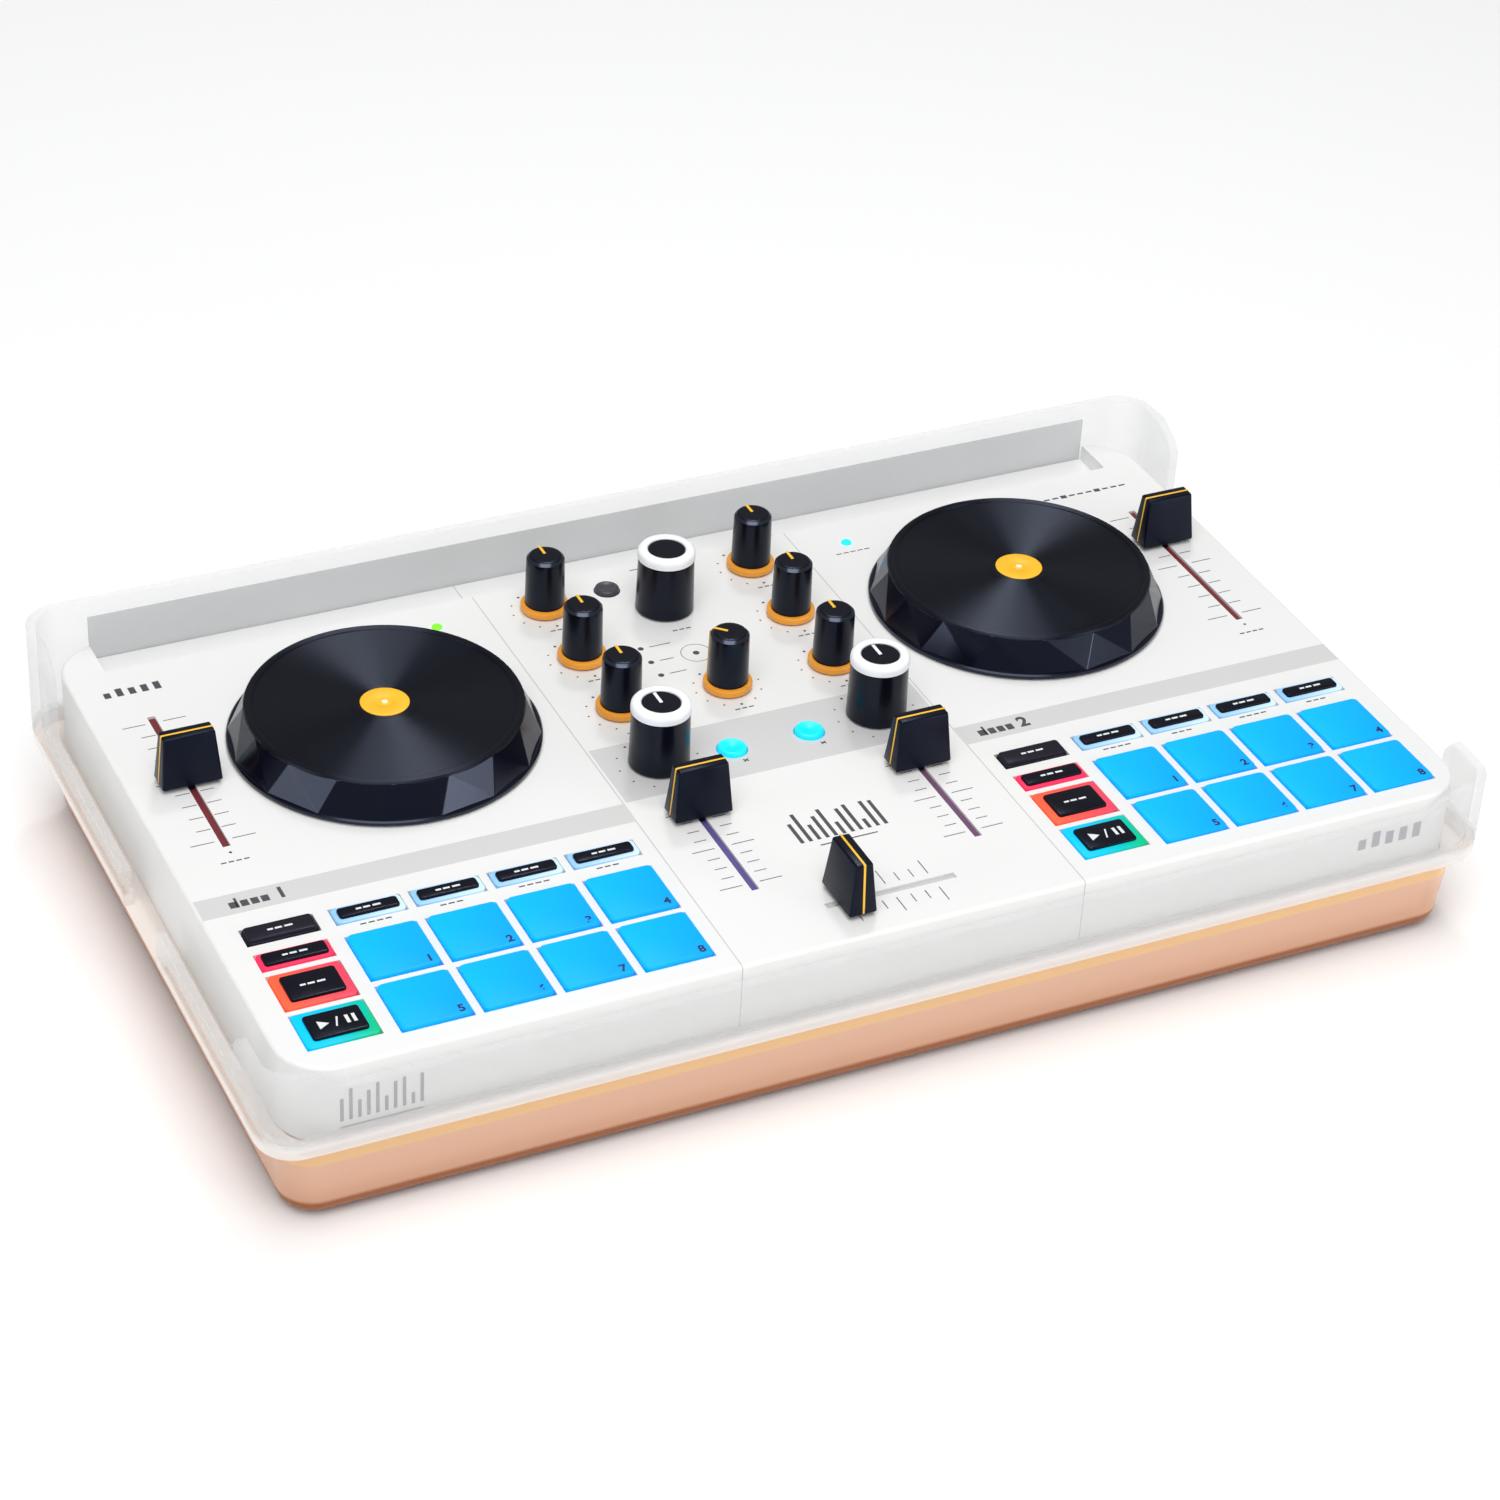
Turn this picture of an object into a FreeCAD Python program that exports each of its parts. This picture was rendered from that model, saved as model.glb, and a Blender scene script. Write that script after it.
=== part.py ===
import FreeCAD
import Part
import Sketcher
import os

# Two-deck dj controller standing in a translucent tray. Millimetres, +Z up, +Y towards the back.
# The origin is at the middle of the surface that the tray's feet stand on.

doc = FreeCAD.newDocument("dj_controller")
sizes = doc.addObject("Spreadsheet::Sheet", "Sizes")

# ---- driving dimensions -------------------------------------------------------------------
DRIVING_SIZES = {
    # casing of the controller
    "case_width": 343.6, "case_depth": 201.4, "case_corner": 14, "case_lip": 1,
    "plate_top": 49, "plate_thick": 2.5, "case_wall": 2.5, "top_shell_low": 25.5,
    "groove_width": 320, "groove_front": 86, "groove_floor": 44,
    "base_width": 337.6, "base_depth": 195.4, "base_corner": 11,
    "base_low": 19.5, "base_high": 28, "base_floor": 2.2, "base_wall": 2,
    "boss_radius": 3.5, "boss_low": 25, "screw_radius": 1.5, "screw_head_radius": 2.8,
    "screw_head": 1.6, "screw_length": 11, "base_boss_high": 24.7, "screw_seat": 22,
    "post_radius": 3, "base_foot_radius": 7, "base_foot": 0.8,
    # translucent tray
    "tray_low": 1, "tray_base_width": 344.4, "tray_base_depth": 199.4,
    "tray_waist_width": 347.4, "tray_waist_depth": 202, "tray_base_corner": 10,
    "tray_width": 359, "tray_depth": 208, "tray_corner": 11, "tray_wall": 2.7, "tray_floor": 2.5,
    "ledge_low": 23, "ledge_top": 25.2, "ledge_fillet": 4, "tray_base_fillet": 5,
    "well_base_width": 338.6, "well_base_depth": 193.4, "well_top_width": 341.8, "well_top_depth": 196.6,
    "well_corner": 8, "side_rim": 37, "front_rim": 45, "ear_rim": 50.5, "back_rim": 63,
    "front_ear_back": -80, "back_ear_front": 75.5, "ear_ramp_start": 157, "ear_ramp_end": 167,
    "notch_front": -18, "notch_back": 11, "foot_radius": 9, "foot_x": 150, "foot_y": 80,
    # circuit board and what stands on it
    "board_low": 33, "board_thick": 1.6, "board_width": 328, "board_depth": 174, "board_y": -7,
    "pot_size": 11, "pot_high": 44, "pot_bore_low": 36, "switch_size": 6, "switch_high": 37.8,
    "jog_sensor_size": 18, "jog_sensor_high": 43, "led_radius": 1.4, "led_high": 49.4,
    "socket_left": 161.5, "socket_right": 170.4, "usb_y": -9, "usb_width": 9, "usb_high": 38,
    "audio_y": 4, "audio_width": 6.4, "audio_high": 40, "audio_bore": 1.8,
    "cell_width": 100, "cell_depth": 46, "cell_high": 29.5, "cell_y": 2,
    # controls: clearances and the parts that they share
    "gap": 0.3, "shaft_gap": 0.05, "control_low": 49.4, "shaft_radius": 3, "shaft_low": 36.3,
    "flange_low": 44.9, "flange_high": 46.2, "flange_reach": 0.6, "stem_low": 38.9, "stem_radius": 2.2,
    "deck_shift": 218.74,
    # jog wheels
    "jog_x": 98.3, "jog_y": 29, "jog_radius": 43.3, "jog_top_radius": 37.2, "jog_high": 60.6,
    "jog_shaft": 5, "jog_hub": 8, "jog_top_thick": 2.8, "jog_inner_top": 34, "jog_inner_foot": 40.8,
    # knobs
    "knob_x": 32.8, "knob_y": 17.5, "knob_pitch": 27.6, "knob_collar_radius": 7, "knob_collar_high": 51.6,
    "knob_foot_radius": 6.1, "knob_top_radius": 5.6, "knob_high": 67.5, "knob_edge": 0.6,
    "filter_x": 33.2, "filter_y": -9.8, "browse_y": 61.3, "ringed_foot_radius": 8.8,
    "ringed_top_radius": 8.3, "ringed_high": 69.4, "ringed_edge": 1.2, "ringed_dish_radius": 5.9,
    "ringed_dish": 0.6,
    # faders
    "pitch_x": 155, "pitch_travel": 58.5, "pitch_middle": 28.1, "pitch_left_y": 27.5, "pitch_right_y": 42,
    "volume_x": 33, "volume_travel": 35, "volume_middle": -51.6, "volume_y": -35.5,
    "cross_y": -85.3, "cross_travel": 25.2, "cross_x": -12.3, "cross_slot": 38,
    "slot_width": 2.2, "fader_stem": 1.6, "fader_stem_length": 5.4, "carriage_width": 5.4,
    "carriage_length": 9, "carriage_low": 37, "carriage_high": 43, "rail_wall": 2, "rail_floor": 36.2,
    "rail_high": 45.9, "cap_length": 17, "cap_depth": 8.2, "cap_top_length": 14.5, "cap_top_depth": 5,
    "cap_low": 50.2, "cap_high": 65.5, "cap_corner": 0.8,
    # pads and buttons
    "pad_x": -130.2, "pad_y": -62.15, "pad_pitch_x": 22, "pad_pitch_y": 21.9, "pad_size": 19.2,
    "pad_corner": 1.6, "pad_high": 49.9, "mode_y": -43.45, "mode_depth": 6.7, "button_corner": 1.6,
    "ring_high": 49.4, "button_high": 50.2, "mode_ring": 1.1, "transport_x": -154.2,
    "transport_width": 19.4, "shift_y": -43.55, "shift_depth": 6.9, "sync_y": -54.8, "sync_depth": 7,
    "cue_y": -68.15, "cue_depth": 14.7, "play_y": -84.9, "play_depth": 14.2, "transport_ring": 2.3,
    "view_x": -12, "view_y": 75.5, "view_radius": 3.6, "load_x": 11.8, "load_y": -11.2, "load_radius": 4.2,
}

for row, (alias, value) in enumerate(DRIVING_SIZES.items(), start=1):
    sizes.set(f"A{row}", alias)
    sizes.set(f"B{row}", str(value))
    sizes.setAlias(f"B{row}", alias)
doc.recompute()

# places in the casing, as (x, y)
SCREW_PLACES = [(-140, 79), (140, 79), (-100, -28), (100, -28), (0, -50), (0, 39.5)]
POST_PLACES = [(-120, -66), (120, -66), (-122, 74), (122, 74)]
LED_PLACES = [(-65.3, 74.5), (65.3, 74.5)]


# ---- drawing tools ------------------------------------------------------------------------
def number(expression):
    """The value of an expression on the sheet."""
    return float(sizes.evalExpression(expression))


def new_body(label, x="0", y="0"):
    """A body of its own for one piece, with its axis at x, y."""
    body = doc.addObject("PartDesign::Body", label)
    body.Label = label
    body.setExpression("Placement.Base.x", x)
    body.setExpression("Placement.Base.y", y)
    return body


def new_sketch(body, role, x="0", y="0", level="0"):
    """A sketch on one of the body's origin planes, moved by three expressions."""
    sketch = body.newObject("Sketcher::SketchObject", body.Label + "_sketch")
    plane = next(item for item in body.Origin.OriginFeatures if item.Role == role)
    sketch.AttachmentSupport = [(plane, "")]
    sketch.MapMode = "FlatFace"
    sketch.setExpression("AttachmentOffset.Base.x", x)
    sketch.setExpression("AttachmentOffset.Base.y", y)
    sketch.setExpression("AttachmentOffset.Base.z", level)
    return sketch


def constrain(sketch, expression, kind, *where):
    """Add a dimension and bind it to an expression."""
    index = sketch.addConstraint(Sketcher.Constraint(kind, *where, number(expression)))
    sketch.setExpression(f"Constraints[{index}]", expression)


def draw_polygon(sketch, points):
    """A closed outline of straight lines through points, each an (x, y) pair of expressions."""
    places = [FreeCAD.Vector(number(x), number(y), 0) for x, y in points]
    count = len(places)
    for index in range(count):
        sketch.addGeometry(Part.LineSegment(places[index], places[(index + 1) % count]))
    for index in range(count):
        sketch.addConstraint(Sketcher.Constraint("Coincident", index, 2, (index + 1) % count, 1))
    for index, (x, y) in enumerate(points):
        for kind, expression, axis in (("DistanceX", x, -2), ("DistanceY", y, -1)):
            if number(expression) == 0:
                sketch.addConstraint(Sketcher.Constraint("PointOnObject", index, 1, axis))
            else:
                constrain(sketch, expression, kind, -1, 1, index, 1)


def draw_rounded(sketch, width, depth, corner):
    """A rectangle with round corners, centred on the sketch's origin."""
    half_x = number(width) / 2
    half_y = number(depth) / 2
    radius = number(corner)
    inner_x = half_x - radius
    inner_y = half_y - radius
    vector = FreeCAD.Vector
    sides = [
        (vector(-inner_x, -half_y, 0), vector(inner_x, -half_y, 0)),
        (vector(half_x, -inner_y, 0), vector(half_x, inner_y, 0)),
        (vector(inner_x, half_y, 0), vector(-inner_x, half_y, 0)),
        (vector(-half_x, inner_y, 0), vector(-half_x, -inner_y, 0)),
    ]
    middles = [(inner_x, -inner_y), (inner_x, inner_y), (-inner_x, inner_y), (-inner_x, -inner_y)]
    quarter = 1.5707963267948966
    for start, end in sides:
        sketch.addGeometry(Part.LineSegment(start, end))
    for index, (x, y) in enumerate(middles):
        circle = Part.Circle(vector(x, y, 0), vector(0, 0, 1), radius)
        sketch.addGeometry(Part.ArcOfCircle(circle, (index - 1) * quarter, index * quarter))
    for index in range(4):
        arc = 4 + index
        sketch.addConstraint(Sketcher.Constraint("Tangent", index, 2, arc, 1))
        sketch.addConstraint(Sketcher.Constraint("Tangent", arc, 2, (index + 1) % 4, 1))
        sketch.addConstraint(Sketcher.Constraint("Horizontal" if index % 2 == 0 else "Vertical", index))
        if index:
            sketch.addConstraint(Sketcher.Constraint("Equal", 4, arc))
    sketch.addConstraint(Sketcher.Constraint("Symmetric", 4, 3, 6, 3, -1, 1))
    constrain(sketch, corner, "Radius", 4)
    constrain(sketch, width, "DistanceX", 3, 1, 1, 1)
    constrain(sketch, depth, "DistanceY", 0, 1, 2, 1)


def draw_circles(sketch, radius, places):
    """Circles of one radius at places, each an (x, y) pair of numbers."""
    for index, (x, y) in enumerate(places):
        centre = FreeCAD.Vector(x, y, 0)
        sketch.addGeometry(Part.Circle(centre, FreeCAD.Vector(0, 0, 1), number(radius)))
        constrain(sketch, radius, "Radius", index)
        for kind, value, axis in (("DistanceX", x, -2), ("DistanceY", y, -1)):
            if value == 0:
                sketch.addConstraint(Sketcher.Constraint("PointOnObject", index, 3, axis))
            else:
                sketch.addConstraint(Sketcher.Constraint(kind, -1, 1, index, 3, value))


def add_pad(body, sketch, low, high):
    """Raise a sketch drawn at low up to high."""
    pad = body.newObject("PartDesign::Pad", body.Label + "_pad")
    pad.Profile = sketch
    pad.setExpression("Length", f"{high} - ({low})")
    return pad


def cut_pocket(body, sketch, low, high):
    """Sink a sketch drawn at high down to low, and check that it really cut."""
    doc.recompute()
    before = body.Shape.Volume
    pocket = body.newObject("PartDesign::Pocket", body.Label + "_pocket")
    pocket.Profile = sketch
    pocket.setExpression("Length", f"{high} - ({low})")
    doc.recompute()
    if body.Shape.Volume > before - 0.01:
        raise ValueError(body.Label + ": a pocket cuts nothing")
    return pocket


def block(body, low, high, width, depth, corner, x="0", y="0"):
    """Add a block with round corners between two levels."""
    sketch = new_sketch(body, "XY_Plane", x, y, low)
    draw_rounded(sketch, width, depth, corner)
    return add_pad(body, sketch, low, high)


def hollow(body, low, high, width, depth, corner, x="0", y="0"):
    """Sink a hollow with round corners between two levels."""
    sketch = new_sketch(body, "XY_Plane", x, y, high)
    draw_rounded(sketch, width, depth, corner)
    return cut_pocket(body, sketch, low, high)


def disc(body, low, high, radius, places=((0, 0),)):
    """Add round bosses between two levels."""
    sketch = new_sketch(body, "XY_Plane", level=low)
    draw_circles(sketch, radius, places)
    return add_pad(body, sketch, low, high)


def bore(body, low, high, radius, places=((0, 0),)):
    """Sink round holes between two levels."""
    sketch = new_sketch(body, "XY_Plane", level=high)
    draw_circles(sketch, radius, places)
    return cut_pocket(body, sketch, low, high)


def turn(body, outline):
    """Turn a half-outline of (radius, height) pairs round the body's axis."""
    sketch = new_sketch(body, "XZ_Plane")
    draw_polygon(sketch, outline)
    solid = body.newObject("PartDesign::Revolution", body.Label + "_turned")
    solid.Profile = sketch
    solid.ReferenceAxis = (sketch, ["V_Axis"])
    solid.Angle = 360
    return solid


def taper(body, kind, low, high, low_size, high_size, low_corner, high_corner):
    """Loft between two rectangles with round corners; kind is AdditiveLoft or SubtractiveLoft."""
    foot = new_sketch(body, "XY_Plane", level=low)
    draw_rounded(foot, *low_size, low_corner)
    head = new_sketch(body, "XY_Plane", level=high)
    draw_rounded(head, *high_size, high_corner)
    loft = body.newObject("PartDesign::" + kind, body.Label + "_loft")
    loft.Profile = foot
    loft.Sections = [head]
    return loft


def cut_across(body, role, outline):
    """Cut an outline drawn on an upright plane right through the body."""
    doc.recompute()
    before = body.Shape.Volume
    sketch = new_sketch(body, role)
    draw_polygon(sketch, outline)
    pocket = body.newObject("PartDesign::Pocket", body.Label + "_pocket")
    pocket.Profile = sketch
    pocket.SideType = "Symmetric"
    pocket.Type = "ThroughAll"
    doc.recompute()
    if body.Shape.Volume > before - 0.01:
        raise ValueError(body.Label + ": a cut cuts nothing")
    return pocket


def round_edges(body, radius, wanted):
    """Round the edges for which wanted(edge) is true."""
    doc.recompute()
    base = body.Tip
    names = [f"Edge{i}" for i, edge in enumerate(base.Shape.Edges, start=1) if wanted(edge)]
    fillet = body.newObject("PartDesign::Fillet", body.Label + "_fillet")
    fillet.Base = (base, names)
    fillet.setExpression("Radius", radius)
    doc.recompute()
    return fillet


def box(label, x, y, low, width, depth, high):
    """A plain box centred on x, y between two levels."""
    item = doc.addObject("Part::Box", label)
    item.setExpression("Length", width)
    item.setExpression("Width", depth)
    item.setExpression("Height", f"{high} - ({low})")
    item.setExpression("Placement.Base.x", f"{x} - ({width}) / 2")
    item.setExpression("Placement.Base.y", f"{y} - ({depth}) / 2")
    item.setExpression("Placement.Base.z", low)
    return item


def rod(label, x, y, low, radius, high):
    """A plain upright cylinder between two levels."""
    item = doc.addObject("Part::Cylinder", label)
    item.setExpression("Radius", radius)
    item.setExpression("Height", f"{high} - ({low})")
    item.setExpression("Placement.Base.x", x)
    item.setExpression("Placement.Base.y", y)
    item.setExpression("Placement.Base.z", low)
    return item


def together(kind, label, items):
    """Join items as a Part::MultiFuse, or group them as a Part::Compound."""
    joined = doc.addObject("Part::" + kind, label)
    joined.Label = label
    if kind == "Compound":
        joined.Links = items
    else:
        joined.Shapes = items
    return joined


def cut(label, base, tool):
    """Take tool out of base."""
    result = doc.addObject("Part::Cut", label)
    result.Label = label
    result.Base = base
    result.Tool = tool
    return result


# ---- where the controls are ---------------------------------------------------------------
def on_deck(x, deck):
    """The x of a control on the left deck, or of its twin on the right deck."""
    return x if deck == "left" else f"{x} + Sizes.deck_shift"


def pad_place(deck, row, column):
    """Centre of one performance pad; row 0 is the back row."""
    x = on_deck(f"Sizes.pad_x + Sizes.pad_pitch_x * {column}", deck)
    y = f"Sizes.pad_y - Sizes.pad_pitch_y * {row}"
    return x, y


TRANSPORT = {
    "shift": ("Sizes.shift_y", "Sizes.shift_depth"),
    "sync": ("Sizes.sync_y", "Sizes.sync_depth"),
    "cue": ("Sizes.cue_y", "Sizes.cue_depth"),
    "play": ("Sizes.play_y", "Sizes.play_depth"),
}
SMALL_KNOBS = {"centre_knob": ("0", "Sizes.knob_y")}
for side, sign in (("left", "-1"), ("right", "1")):
    for row, name in enumerate(("low", "mid", "high")):
        knob_y = f"Sizes.knob_y + Sizes.knob_pitch * {row}"
        SMALL_KNOBS[f"{name}_knob_{side}"] = (f"{sign} * Sizes.knob_x", knob_y)
RINGED_KNOBS = {
    "filter_knob_left": ("-Sizes.filter_x", "Sizes.filter_y"),
    "filter_knob_right": ("Sizes.filter_x", "Sizes.filter_y"),
    "browse_encoder": ("0", "Sizes.browse_y"),
}
ROUND_BUTTONS = {
    "view_button": ("Sizes.view_x", "Sizes.view_y", "Sizes.view_radius"),
    "load_button_left": ("-Sizes.load_x", "Sizes.load_y", "Sizes.load_radius"),
    "load_button_right": ("Sizes.load_x", "Sizes.load_y", "Sizes.load_radius"),
}
JOGS = {
    "jog_wheel_left": ("-Sizes.jog_x", "Sizes.jog_y"),
    "jog_wheel_right": ("Sizes.jog_x", "Sizes.jog_y"),
}
# name: (x at rest, y at rest, x of the slot's middle, y of the slot's middle, travel, runs along x)
FADERS = {
    "pitch_fader_left": ("-Sizes.pitch_x", "Sizes.pitch_left_y", "-Sizes.pitch_x", "Sizes.pitch_middle",
                         "Sizes.pitch_travel", False),
    "pitch_fader_right": ("Sizes.pitch_x", "Sizes.pitch_right_y", "Sizes.pitch_x", "Sizes.pitch_middle",
                          "Sizes.pitch_travel", False),
    "volume_fader_left": ("-Sizes.volume_x", "Sizes.volume_y", "-Sizes.volume_x", "Sizes.volume_middle",
                          "Sizes.volume_travel", False),
    "volume_fader_right": ("Sizes.volume_x", "Sizes.volume_y", "Sizes.volume_x", "Sizes.volume_middle",
                           "Sizes.volume_travel", False),
    "crossfader": ("Sizes.cross_x", "Sizes.cross_y", "0", "Sizes.cross_y", "Sizes.cross_travel", True),
}


# ---- buttons and pads ---------------------------------------------------------------------
def pressed_cap(label, x, y, width, depth, corner, ring, ring_high, high):
    """A cap with a flange held under the plate, a stem to its switch and a lit ring round its top."""
    body = new_body(label, x, y)
    disc(body, "Sizes.stem_low", "Sizes.flange_low", "Sizes.stem_radius")
    reach = "2 * Sizes.flange_reach"
    block(body, "Sizes.flange_low", "Sizes.flange_high", f"{width} + {reach}", f"{depth} + {reach}", corner)
    block(body, "Sizes.flange_high", ring_high, width, depth, corner)
    if ring:
        inner = f"({corner}) * 0.7"
        block(body, ring_high, high, f"{width} - 2 * {ring}", f"{depth} - 2 * {ring}", inner)
    return body


def round_cap(label, x, y, radius):
    """A small round button: stem, flange and a cap with a chamfered edge."""
    body = new_body(label, x, y)
    flange = f"{radius} + Sizes.flange_reach"
    edge = "0.4"
    turn(body, [
        ("0", "Sizes.stem_low"), ("Sizes.stem_radius", "Sizes.stem_low"),
        ("Sizes.stem_radius", "Sizes.flange_low"),
        (flange, "Sizes.flange_low"), (flange, "Sizes.flange_high"), (radius, "Sizes.flange_high"),
        (radius, f"Sizes.button_high - {edge}"), (f"{radius} - {edge}", "Sizes.button_high"),
        ("0", "Sizes.button_high"),
    ])
    return body


parts = {}
cutters = []
switches = []


def window(label, x, y, width, depth):
    """The opening in the plate round a cap, and the switch on the board under it."""
    clearance = "2 * Sizes.gap"
    cutters.append(box(label + "_window", x, y, "Sizes.groove_floor", f"{width} + {clearance}",
                       f"{depth} + {clearance}", "Sizes.plate_top + 1"))
    switches.append(box(label + "_switch", x, y, "Sizes.board_low + Sizes.board_thick / 2",
                        "Sizes.switch_size", "Sizes.switch_size", "Sizes.switch_high"))


for deck in ("left", "right"):
    for row in range(2):
        for column in range(4):
            name = f"pad_{deck}_{row * 4 + column + 1}"
            x, y = pad_place(deck, row, column)
            parts[name] = pressed_cap(name, x, y, "Sizes.pad_size", "Sizes.pad_size", "Sizes.pad_corner",
                                      None, "Sizes.pad_high", "Sizes.pad_high")
            window(name, x, y, "Sizes.pad_size", "Sizes.pad_size")
    for column in range(4):
        name = f"mode_button_{deck}_{column + 1}"
        x = pad_place(deck, 0, column)[0]
        parts[name] = pressed_cap(name, x, "Sizes.mode_y", "Sizes.pad_size", "Sizes.mode_depth",
                                  "Sizes.button_corner", "Sizes.mode_ring", "Sizes.ring_high",
                                  "Sizes.button_high")
        window(name, x, "Sizes.mode_y", "Sizes.pad_size", "Sizes.mode_depth")
    for key, (y, depth) in TRANSPORT.items():
        name = f"{key}_button_{deck}"
        x = on_deck("Sizes.transport_x", deck)
        ring = "Sizes.transport_ring" if number(depth) > 10 else "Sizes.mode_ring"
        parts[name] = pressed_cap(name, x, y, "Sizes.transport_width", depth, "Sizes.button_corner",
                                  ring, "Sizes.ring_high", "Sizes.button_high")
        window(name, x, y, "Sizes.transport_width", depth)

for name, (x, y, radius) in ROUND_BUTTONS.items():
    parts[name] = round_cap(name, x, y, radius)
    cutters.append(rod(name + "_window", x, y, "Sizes.groove_floor", f"{radius} + Sizes.gap",
                       "Sizes.plate_top + 1"))
    switches.append(box(name + "_switch", x, y, "Sizes.board_low + Sizes.board_thick / 2",
                        "Sizes.switch_size", "Sizes.switch_size", "Sizes.switch_high"))


# ---- knobs: each is turned in one piece with the shaft of its potentiometer ----------------------
pots = []
pot_bores = []


def pot(label, x, y, size, high, radius):
    """The potentiometer on the board, its bore for the shaft and the shaft's hole in the plate."""
    pots.append(box(label + "_pot", x, y, "Sizes.board_low + Sizes.board_thick / 2", size, size, high))
    pot_bores.append(rod(label + "_bore", x, y, "Sizes.pot_bore_low", f"{radius} + Sizes.shaft_gap",
                         f"{high} + 1"))
    cutters.append(rod(label + "_hole", x, y, "Sizes.groove_floor", f"{radius} + Sizes.gap",
                       "Sizes.plate_top + 1"))


for name, (x, y) in SMALL_KNOBS.items():
    parts[name] = new_body(name, x, y)
    turn(parts[name], [
        ("0", "Sizes.shaft_low"), ("Sizes.shaft_radius", "Sizes.shaft_low"),
        ("Sizes.shaft_radius", "Sizes.control_low"), ("Sizes.knob_collar_radius", "Sizes.control_low"),
        ("Sizes.knob_collar_radius", "Sizes.knob_collar_high"),
        ("Sizes.knob_foot_radius", "Sizes.knob_collar_high"),
        ("Sizes.knob_top_radius", "Sizes.knob_high - Sizes.knob_edge"),
        ("Sizes.knob_top_radius - Sizes.knob_edge", "Sizes.knob_high"), ("0", "Sizes.knob_high"),
    ])
    pot(name, x, y, "Sizes.pot_size", "Sizes.pot_high", "Sizes.shaft_radius")

for name, (x, y) in RINGED_KNOBS.items():
    parts[name] = new_body(name, x, y)
    turn(parts[name], [
        ("0", "Sizes.shaft_low"), ("Sizes.shaft_radius", "Sizes.shaft_low"),
        ("Sizes.shaft_radius", "Sizes.control_low"), ("Sizes.ringed_foot_radius", "Sizes.control_low"),
        ("Sizes.ringed_top_radius", "Sizes.ringed_high - Sizes.ringed_edge"),
        ("Sizes.ringed_top_radius - Sizes.ringed_edge", "Sizes.ringed_high"),
        ("Sizes.ringed_dish_radius", "Sizes.ringed_high"),
        ("Sizes.ringed_dish_radius", "Sizes.ringed_high - Sizes.ringed_dish"),
        ("0", "Sizes.ringed_high - Sizes.ringed_dish"),
    ])
    pot(name, x, y, "Sizes.pot_size", "Sizes.pot_high", "Sizes.shaft_radius")


# ---- jog wheels: a hollow dish on a spindle, kept by a ring under the plate -----------------------
for name, (x, y) in JOGS.items():
    parts[name] = new_body(name, x, y)
    under_top = "Sizes.jog_high - Sizes.jog_top_thick"
    turn(parts[name], [
        ("0", "Sizes.shaft_low"), ("Sizes.jog_shaft", "Sizes.shaft_low"),
        ("Sizes.jog_shaft", "Sizes.flange_low"), ("Sizes.jog_hub", "Sizes.flange_low"),
        ("Sizes.jog_hub", "Sizes.flange_high"), ("Sizes.jog_shaft", "Sizes.flange_high"),
        ("Sizes.jog_shaft", "Sizes.control_low"), ("Sizes.jog_hub", "Sizes.control_low"),
        ("Sizes.jog_hub", under_top), ("Sizes.jog_inner_top", under_top),
        ("Sizes.jog_inner_foot", "Sizes.control_low"), ("Sizes.jog_radius", "Sizes.control_low"),
        ("Sizes.jog_radius", "Sizes.control_low + 1.2"), ("Sizes.jog_top_radius", "Sizes.jog_high"),
        ("0", "Sizes.jog_high"),
    ])
    pot(name, x, y, "Sizes.jog_sensor_size", "Sizes.jog_sensor_high", "Sizes.jog_shaft")


# ---- faders: cap, stem through the slot and carriage in its rail ----------------------------------
rails = []
for name, (x, y, slot_x, slot_y, travel, runs_along_x) in FADERS.items():
    parts[name] = new_body(name, x, y)
    slot_length = f"{travel} + Sizes.fader_stem_length + 2 * Sizes.gap"
    if runs_along_x:
        slot_length = "Sizes.cross_slot"

    def across(along, over):
        """Sizes along and over the slot, in x, y order."""
        return (along, over) if runs_along_x else (over, along)

    fader = parts[name]
    small_corner = "0.3"
    block(fader, "Sizes.carriage_low", "Sizes.carriage_high",
          *across("Sizes.carriage_length", "Sizes.carriage_width"), small_corner)
    block(fader, "Sizes.carriage_high", "Sizes.cap_low",
          *across("Sizes.fader_stem_length", "Sizes.fader_stem"), small_corner)
    taper(fader, "AdditiveLoft", "Sizes.cap_low", "Sizes.cap_high",
          across("Sizes.cap_depth", "Sizes.cap_length"),
          across("Sizes.cap_top_depth", "Sizes.cap_top_length"),
          "Sizes.cap_corner", "Sizes.cap_corner")
    cutters.append(box(name + "_slot", slot_x, slot_y, "Sizes.groove_floor",
                       *across(slot_length, "Sizes.slot_width"), "Sizes.plate_top + 1"))
    room = f"{travel} + Sizes.carriage_length + 2 * Sizes.gap"
    channel = "Sizes.carriage_width + 2 * Sizes.gap"
    outside = box(name + "_rail_outside", slot_x, slot_y, "Sizes.board_low + Sizes.board_thick",
                  *across(f"{room} + 2 * Sizes.rail_wall", f"{channel} + 2 * Sizes.rail_wall"),
                  "Sizes.rail_high")
    inside = box(name + "_rail_inside", slot_x, slot_y, "Sizes.rail_floor",
                 *across(room, channel), "Sizes.rail_high + 1")
    rails.append(cut(name + "_rail", outside, inside))
parts["fader_rails"] = together("Compound", "fader_rails", rails)


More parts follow.
